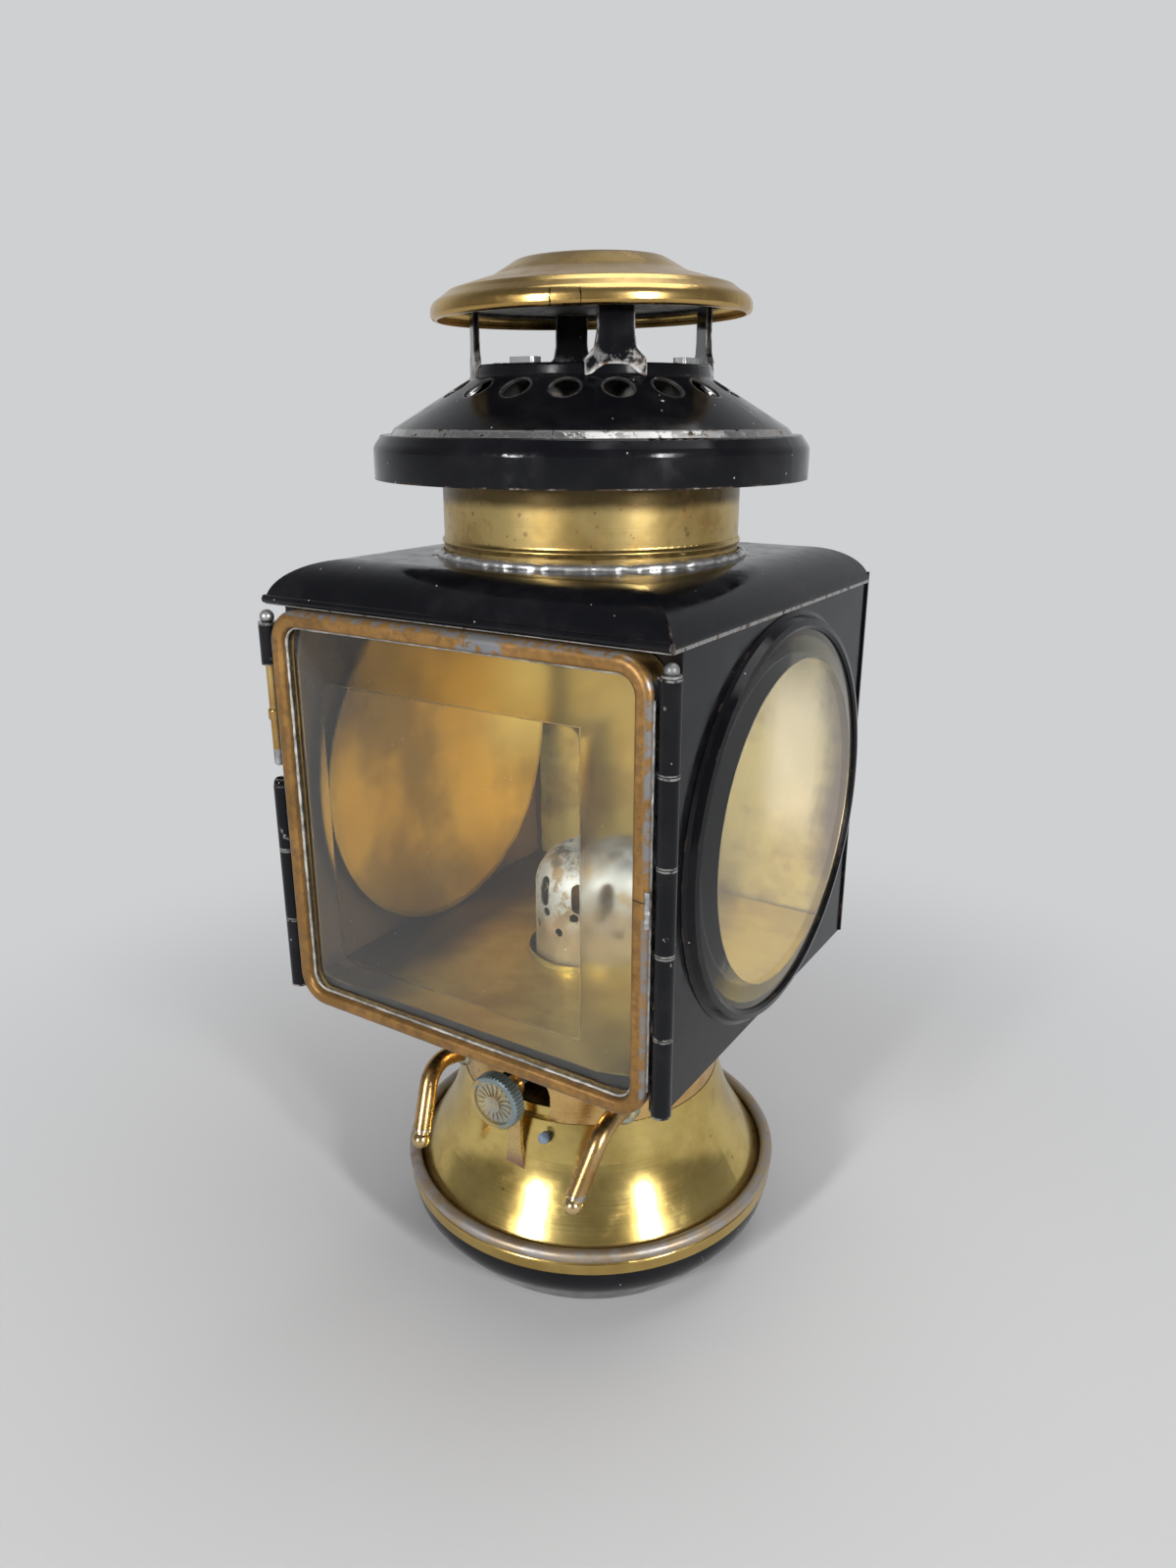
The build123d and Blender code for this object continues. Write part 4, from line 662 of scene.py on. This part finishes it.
BRASS_FINISHES = {
    "cap": dict(light=(0.64, 0.44, 0.16), dark=(0.48, 0.30, 0.09), rough=0.22, tarnish=0.3,
                spots=0.08, extra=cap_tones),
    "neck_ring": dict(light=(0.54, 0.40, 0.16), dark=(0.40, 0.27, 0.09), rough=0.30, tarnish=0.55,
                      spots=0.45, extra=neck_tones),
    "font_cone": dict(light=(0.70, 0.53, 0.18), dark=(0.52, 0.37, 0.11), rough=0.19, tarnish=0.22,
                      spots=0.05, extra=font_tones),
    "collar": dict(light=(0.70, 0.46, 0.18), dark=(0.55, 0.34, 0.12), rough=0.26, tarnish=0.4, spots=0.2),
    "font_bead_ring": dict(light=(0.42, 0.33, 0.22), dark=(0.27, 0.21, 0.15), rough=0.42, tarnish=0.5,
                           spots=0.4, extra=bead_tones, metal=0.75),
    "door_bezel": dict(light=(0.36, 0.195, 0.06), dark=(0.25, 0.13, 0.035), rough=0.42, tarnish=0.5,
                       spun=False, spots=0.35, extra=bezel_tones, metal=0.7),
    "door_frame": dict(light=(0.56, 0.36, 0.12), dark=(0.40, 0.24, 0.08), rough=0.34, tarnish=0.5,
                       spun=False, extra=silvered_side),
    "draught_tube_left": dict(light=(0.56, 0.38, 0.17), dark=(0.40, 0.24, 0.09), rough=0.27, tarnish=0.5,
                              spun=False, extra=tube_tones),
    "tube_tips": dict(light=(0.78, 0.60, 0.30), dark=(0.56, 0.40, 0.20), rough=0.22, tarnish=0.3,
                      spun=False),
    "tube_flanges": dict(light=(0.60, 0.50, 0.30), dark=(0.40, 0.34, 0.22), rough=0.45, tarnish=0.4,
                         spun=False, extra=flange_tones),
    "shaft_strap": dict(light=(0.74, 0.54, 0.24), dark=(0.52, 0.34, 0.12), rough=0.26, tarnish=0.4,
                        spun=False, extra=strap_tones),
    "knob_rim": dict(light=(0.58, 0.46, 0.20), dark=(0.40, 0.30, 0.12), rough=0.38, tarnish=0.3,
                     spun=False, extra=knob_tones, metal=0.8),
    "knob_face": dict(light=(0.74, 0.62, 0.34), dark=(0.40, 0.42, 0.40), rough=0.30, tarnish=0.4,
                      spun=False, spots=0.5),
    "latch_bolt": dict(light=(0.62, 0.42, 0.16), dark=(0.45, 0.27, 0.09), rough=0.28, tarnish=0.5,
                       spun=False),
    "floor_plate": dict(light=(0.47, 0.37, 0.12), dark=(0.32, 0.24, 0.07), rough=0.30, tarnish=0.15,
                        spun=False, spots=0.0, extra=floor_shade, metal=0.85),
    "burner_tube": dict(light=(0.27, 0.21, 0.11), dark=(0.17, 0.12, 0.06), rough=0.52, tarnish=0.4,
                        spots=0.3, extra=burner_tones, metal=0.4),
    "burner_base": dict(rough=0.28, tarnish=0.5),
    "glass_retainer": dict(light=(0.56, 0.42, 0.2), dark=(0.40, 0.26, 0.1), rough=0.35, spun=False),
}
SHARES_BRASS = {
    "draught_tube_right": "draught_tube_left", "burner_socket": "burner_base",
    "font_top_plate": "burner_base", "wick_tube": "burner_base", "spur_wheels": "burner_base",
    "retainer_screws": "glass_retainer", "lens_clamp": "glass_retainer",
}
# Worn enamel; on the roof and hood the placed wear is also partly a painted highlight.
WORN_AND_HIGHLIT_BLACK = {
    "vent_hood": (0.75, hood_ring_wear_and_highlight), "roof": (0.6, roof_wear_and_highlight), "roof_lip": (0.9, None),
    "knuckles_body": (0.7, hinge_wear), "knuckles_door": (0.7, hinge_wear),
    "latch_keeper": (1.3, hinge_wear), "latch_barrel": (1.0, hinge_wear),
}
PLAIN_BLACK = ("bottom_plate", "eave_strip", "lens_ring", "hood_deck", "font_pan", "bracket_plate",
               "bracket_socket")
LINED = ("side_panel_left", "side_panel_right", "back_panel", "front_frame")
WORN_STEEL = ("hinge_pin", "latch_finial", "latch_bolt_tip", "rim_tabs", "set_screw", "bracket_rivets",
              "wick_shaft", "reflector_studs")


def finish_nodes():
    """Give every CAD node its finish."""
    made = {name: brass("brass_" + name, **facts) for name, facts in BRASS_FINISHES.items()}
    made.update({name: made[other] for name, other in SHARES_BRASS.items()})
    for name, (worn, where) in WORN_AND_HIGHLIT_BLACK.items():
        made[name] = black_enamel("enamel_" + name, worn, where)
    made["cap_posts"] = black_enamel("enamel_posts", 1.1, post_foot_wear_and_highlight)
    made.update(dict.fromkeys(LINED, lined_enamel("lined_enamel", 0.5)))
    made.update(dict.fromkeys(PLAIN_BLACK, black_enamel("enamel_plain", 0.4)))
    made.update(dict.fromkeys(WORN_STEEL, steel("worn_steel", WORN_GREY, 0.3)))
    flue = steel("flue_steel", FLUE_GREY, 0.5, 0.5)
    made.update(dict.fromkeys(("chimney_tube", "cap_baffle"), flue))
    made["locating_stud"] = steel("stud_steel", STUD_GREY, 0.55, 0.1)
    made["front_glass"] = clear_glass("door_glass", DOOR_GLASS, DOOR_BEVEL, 0.14, square_glass_out,
                                      door_half - door_flat_inset)
    made["side_lens"] = clear_glass("lens_glass", LENS_GLASS, LENS_BEVEL, 0.06, round_out,
                                    lens_radius - lens_flat_inset)
    made["reflector"] = mirror_brass("reflector_face")
    made["wick"] = cotton("wick_cotton")
    for name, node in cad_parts.items():
        node.data.materials.clear()
        node.data.materials.append(made[name])


# Solder and beads that the solids don't hold


def bead_nodes():
    """Geometry Nodes: a wire along a path of edges, swelling and shifting unevenly like a run of solder."""
    tree = bpy.data.node_groups.new("solder_bead", "GeometryNodeTree")
    face = tree.interface
    face.new_socket("Path", in_out="INPUT", socket_type="NodeSocketGeometry")
    for label in ("Wire Radius", "Step", "Lump Size", "Lump Depth", "Seed"):
        face.new_socket(label, in_out="INPUT", socket_type="NodeSocketFloat")
    face.new_socket("Material", in_out="INPUT", socket_type="NodeSocketMaterial")
    face.new_socket("Bead", in_out="OUTPUT", socket_type="NodeSocketGeometry")
    n = Nodes(tree)
    given = n.add("NodeGroupInput").outputs
    curve = n.add("GeometryNodeMeshToCurve")
    n.join(given["Path"], curve.inputs["Mesh"])
    even = n.add("GeometryNodeResampleCurve", mode="LENGTH")
    n.join(curve.outputs[0], even.inputs["Curve"])
    n.join(given["Step"], even.inputs["Length"])
    ring = n.add("GeometryNodeCurvePrimitiveCircle")
    ring.inputs["Resolution"].default_value = 10
    n.join(given["Wire Radius"], ring.inputs["Radius"])
    wire = n.add("GeometryNodeCurveToMesh")
    n.join(even.outputs[0], wire.inputs["Curve"])
    n.join(ring.outputs[0], wire.inputs["Profile Curve"])
    wire.inputs["Fill Caps"].default_value = True
    rough = n.add("ShaderNodeTexNoise", noise_dimensions="4D")
    n.join(n.math("DIVIDE", 1.0, given["Lump Size"]), rough.inputs["Scale"])
    n.join(given["Seed"], rough.inputs["W"])
    centred = n.add("ShaderNodeMath", operation="MULTIPLY_ADD")
    centred.inputs[1].default_value = 4.0
    centred.inputs[2].default_value = -2.0
    n.join(rough.outputs["Fac"], centred.inputs[0])
    push = n.add("ShaderNodeVectorMath", operation="SCALE")
    n.join(n.add("GeometryNodeInputNormal").outputs[0], push.inputs[0])
    n.join(n.times(centred.outputs[0], given["Lump Depth"]), push.inputs["Scale"])
    moved = n.add("GeometryNodeSetPosition")
    n.join(wire.outputs[0], moved.inputs["Geometry"])
    n.join(push.outputs[0], moved.inputs["Offset"])
    real = n.add("GeometryNodeRealizeInstances")
    n.join(moved.outputs[0], real.inputs[0])
    coat = n.add("GeometryNodeSetMaterial")
    n.join(real.outputs[0], coat.inputs["Geometry"])
    n.join(given["Material"], coat.inputs["Material"])
    n.join(coat.outputs[0], n.add("NodeGroupOutput").inputs[0])
    return tree


def bead_mesh(name, points, closed, tree, material, facts):
    """Mesh of a solder bead along points."""
    path = bpy.data.meshes.new(name + "_path")
    count = len(points)
    edges = [(i, (i + 1) % count) for i in range(count if closed else count - 1)]
    path.from_pydata([tuple(p) for p in points], edges, [])
    holder = bpy.data.objects.new(name + "_path", path)
    bpy.context.scene.collection.objects.link(holder)
    modifier = holder.modifiers.new("bead", "NODES")
    modifier.node_group = tree
    sockets = {item.name: item.identifier for item in tree.interface.items_tree if item.in_out == "INPUT"}
    for label, value in facts.items():
        modifier[sockets[label.replace("_", " ")]] = value
    modifier[sockets["Material"]] = material
    seen = holder.evaluated_get(bpy.context.evaluated_depsgraph_get())
    mesh = bpy.data.meshes.new_from_object(seen)
    bpy.data.objects.remove(holder)
    shape = bmesh.new()
    shape.from_mesh(mesh)
    bmesh.ops.recalc_face_normals(shape, faces=shape.faces)
    shape.to_mesh(mesh)
    shape.free()
    return mesh


def bead_piece(name, points, closed, tree, material, body, **facts):
    """A solder bead as a piece that rides on one body."""
    mesh = bead_mesh(name, points, closed, tree, material, facts)
    piece = bpy.data.objects.new(name, mesh)
    bpy.context.scene.collection.objects.link(piece)
    mesh.materials.clear()
    mesh.materials.append(material)
    for face in mesh.polygons:
        face.use_smooth = True
    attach(piece, body)


def circle_path(radius, height, wander, seed, count=180):
    """Circle about the lamp's axis whose radius wanders a little."""
    points = []
    for i in range(count):
        angle = 2 * math.pi * i / count
        out = Vector((math.cos(angle), math.sin(angle), 0))
        reach = radius + wander * noise.noise(out * 9 + Vector((seed, 0, 0)))
        points.append(out * reach + Vector((0, 0, height)))
    return points


def window_path(half, half_height, corner, y, steps=8):
    """Rounded square in the door's plane."""
    points = []
    for quarter, (sx, sz) in enumerate(((1, 1), (-1, 1), (-1, -1), (1, -1))):
        for i in range(steps + 1):
            angle = math.pi / 2 * (quarter + i / steps)
            points.append(Vector((sx * (half - corner) + corner * math.cos(angle), y,
                                  bezel_mid_z + sz * (half_height - corner) + corner * math.sin(angle))))
    return points


def upright_path(x, y, foot, step, count, wander=0.0):
    """Upright line whose depth wanders a little."""
    return [Vector((x, y + wander * noise.noise(Vector((0, 0, i * 0.3))), foot + i * step))
            for i in range(count)]


def make_solder():
    tree = bead_nodes()
    bright = steel("solder", BRIGHT_SOLDER, 0.26, 0.12)
    putty = steel("putty_line", PUTTY, 0.6, 0.15)
    dull = steel("old_solder", OLD_SOLDER, 0.45, 0.4)

    round_neck = circle_path(neck_radius + 0.9 * MM, high("roof").z + 0.2 * MM, 0.7 * MM, 4.0)
    bead_piece("neck_solder", round_neck, True, tree, bright, "lantern", Wire_Radius=1.4 * MM,
               Step=0.6 * MM, Lump_Size=2.6 * MM, Lump_Depth=0.42 * MM, Seed=2.0)

    into_band = bezel_band + 0.25 * MM
    round_glass = window_path(door_half - into_band, (bezel_high.z - bezel_low.z) / 2 - into_band,
                              4.6 * MM, bezel_high.y - 0.35 * MM)
    bead_piece("glass_bead", round_glass, True, tree, putty, "door", Wire_Radius=0.42 * MM,
               Step=0.5 * MM, Lump_Size=2.0 * MM, Lump_Depth=0.16 * MM, Seed=5.0)

    up_side = upright_path(door_half + 0.05 * MM, bezel_low.y + 1.6 * MM, bezel_low.z + 9 * MM,
                           1.0 * MM, 96, 0.4 * MM)
    bead_piece("bezel_seam_solder", up_side, False, tree, dull, "door", Wire_Radius=0.34 * MM,
               Step=0.5 * MM, Lump_Size=2.2 * MM, Lump_Depth=0.13 * MM, Seed=9.0)

    over_joint = upright_path(door_half - 0.5 * MM, bezel_low.y + 1.0 * MM, bezel_joint_z - 6.5 * MM,
                              0.5 * MM, 19)
    bead_piece("joint_solder", over_joint, False, tree, dull, "door", Wire_Radius=0.85 * MM,
               Step=0.4 * MM, Lump_Size=1.6 * MM, Lump_Depth=0.3 * MM, Seed=12.0)


# Studio

BACKDROP = (0.62, 0.63, 0.64)
SIDES = (0.20, 0.20, 0.21)
CEILING = (0.14, 0.14, 0.15)
FLOOR = (0.62, 0.62, 0.62)
CAMERA_AT = (0.1650, -0.2620, 0.2522)
CAMERA_AIM = (-0.00075, -0.00048, 0.1476)
SENSOR_HEIGHT = 36.0
LENS = 25.34
VIEW_AZIMUTH = -57.8
KEY_SPREAD = 37
LAMP_AIM = (0, 0, 0.15)
BEHIND_SUBJECT = (-0.533, 0.846, 0.0)


def camera():
    data = bpy.data.cameras.new("camera")
    data.sensor_fit = "VERTICAL"
    data.sensor_height = SENSOR_HEIGHT
    data.lens = LENS
    data.clip_start = 0.01
    holder = bpy.data.objects.new("camera", data)
    bpy.context.scene.collection.objects.link(holder)
    holder.location = CAMERA_AT
    holder.rotation_euler = (Vector(CAMERA_AIM) - holder.location).to_track_quat("-Z", "Y").to_euler()
    bpy.context.scene.camera = holder


def lamp(name, azimuth, distance, height, width, tall, power):
    """Soft panel lamp, facing the lamp's middle from an azimuth counted from +X towards +Y."""
    data = bpy.data.lights.new(name, "AREA")
    data.shape = "RECTANGLE"
    data.size = width
    data.size_y = tall
    data.energy = power
    holder = bpy.data.objects.new(name, data)
    bpy.context.scene.collection.objects.link(holder)
    angle = math.radians(azimuth)
    holder.location = (distance * math.cos(angle), distance * math.sin(angle), height)
    holder.rotation_euler = (Vector(LAMP_AIM) - holder.location).to_track_quat("-Z", "Y").to_euler()


def pale_floor():
    """Floor that takes shadows by the lamp and fades into the backdrop away from it."""
    f = Finish("pale_floor")
    f.set(Base_Color=FLOOR, Roughness=0.8)
    far = f.add("ShaderNodeEmission")
    far.inputs["Color"].default_value = (*BACKDROP, 1.0)
    path = f.add("ShaderNodeLightPath").outputs
    seen = f.most(path["Is Camera Ray"], path["Is Glossy Ray"], path["Is Transmission Ray"])
    fade = f.add("ShaderNodeMixShader")
    f.join(f.times(seen, f.span(f.radius(), 0.11, 0.36)), fade.inputs[0])
    f.join(f.shader.outputs["BSDF"], fade.inputs[1])
    f.join(far.outputs[0], fade.inputs[2])
    f.join(fade.outputs[0], f.output.inputs["Surface"])
    mesh = bpy.data.meshes.new("floor")
    shape = bmesh.new()
    bmesh.ops.create_circle(shape, cap_ends=True, segments=96, radius=6.0)
    shape.to_mesh(mesh)
    shape.free()
    floor = bpy.data.objects.new("floor", mesh)
    bpy.context.scene.collection.objects.link(floor)
    mesh.materials.append(f.material)


def soft_world():
    """Pale to the camera. Shiny pieces see a pale wall behind the lamp and darker sides and ceiling."""
    world = bpy.data.worlds.new("studio")
    bpy.context.scene.world = world
    world.use_nodes = True
    n = Nodes(world.node_tree)
    background = n.tree.nodes["Background"]
    path = n.add("ShaderNodeLightPath").outputs
    seen = n.most(path["Is Camera Ray"], path["Is Transmission Ray"], path["Is Glossy Ray"])
    n.join(n.ramp(seen, 0.0, 1.0, 0.9, 1.0), background.inputs["Strength"])
    direction = n.add("ShaderNodeTexCoord").outputs["Generated"]
    parts = n.add("ShaderNodeSeparateXYZ")
    n.join(direction, parts.inputs[0])
    behind = n.add("ShaderNodeVectorMath", operation="DOT_PRODUCT")
    n.join(direction, behind.inputs[0])
    behind.inputs[1].default_value = BEHIND_SUBJECT
    wall = n.mix(n.ramp(behind.outputs["Value"], 0.25, 0.70), SIDES, BACKDROP)
    sky = n.mix(n.ramp(parts.outputs["Z"], 0.25, 0.9), wall, CEILING)
    n.join(n.mix(path["Is Camera Ray"], sky, BACKDROP), background.inputs["Color"])


def studio():
    lamp("key_left", VIEW_AZIMUTH - KEY_SPREAD, 1.30, 0.55, 0.10, 0.42, 12.0)
    lamp("key_right", VIEW_AZIMUTH + KEY_SPREAD, 1.30, 0.55, 0.10, 0.42, 12.0)
    lamp("top", 60, 0.25, 1.30, 0.9, 0.9, 6.0)
    pale_floor()
    soft_world()
    bpy.context.scene.view_settings.view_transform = "Standard"


def plain(box):
    return [list(corner) for corner in box]


finish_nodes()
make_solder()
camera()
studio()
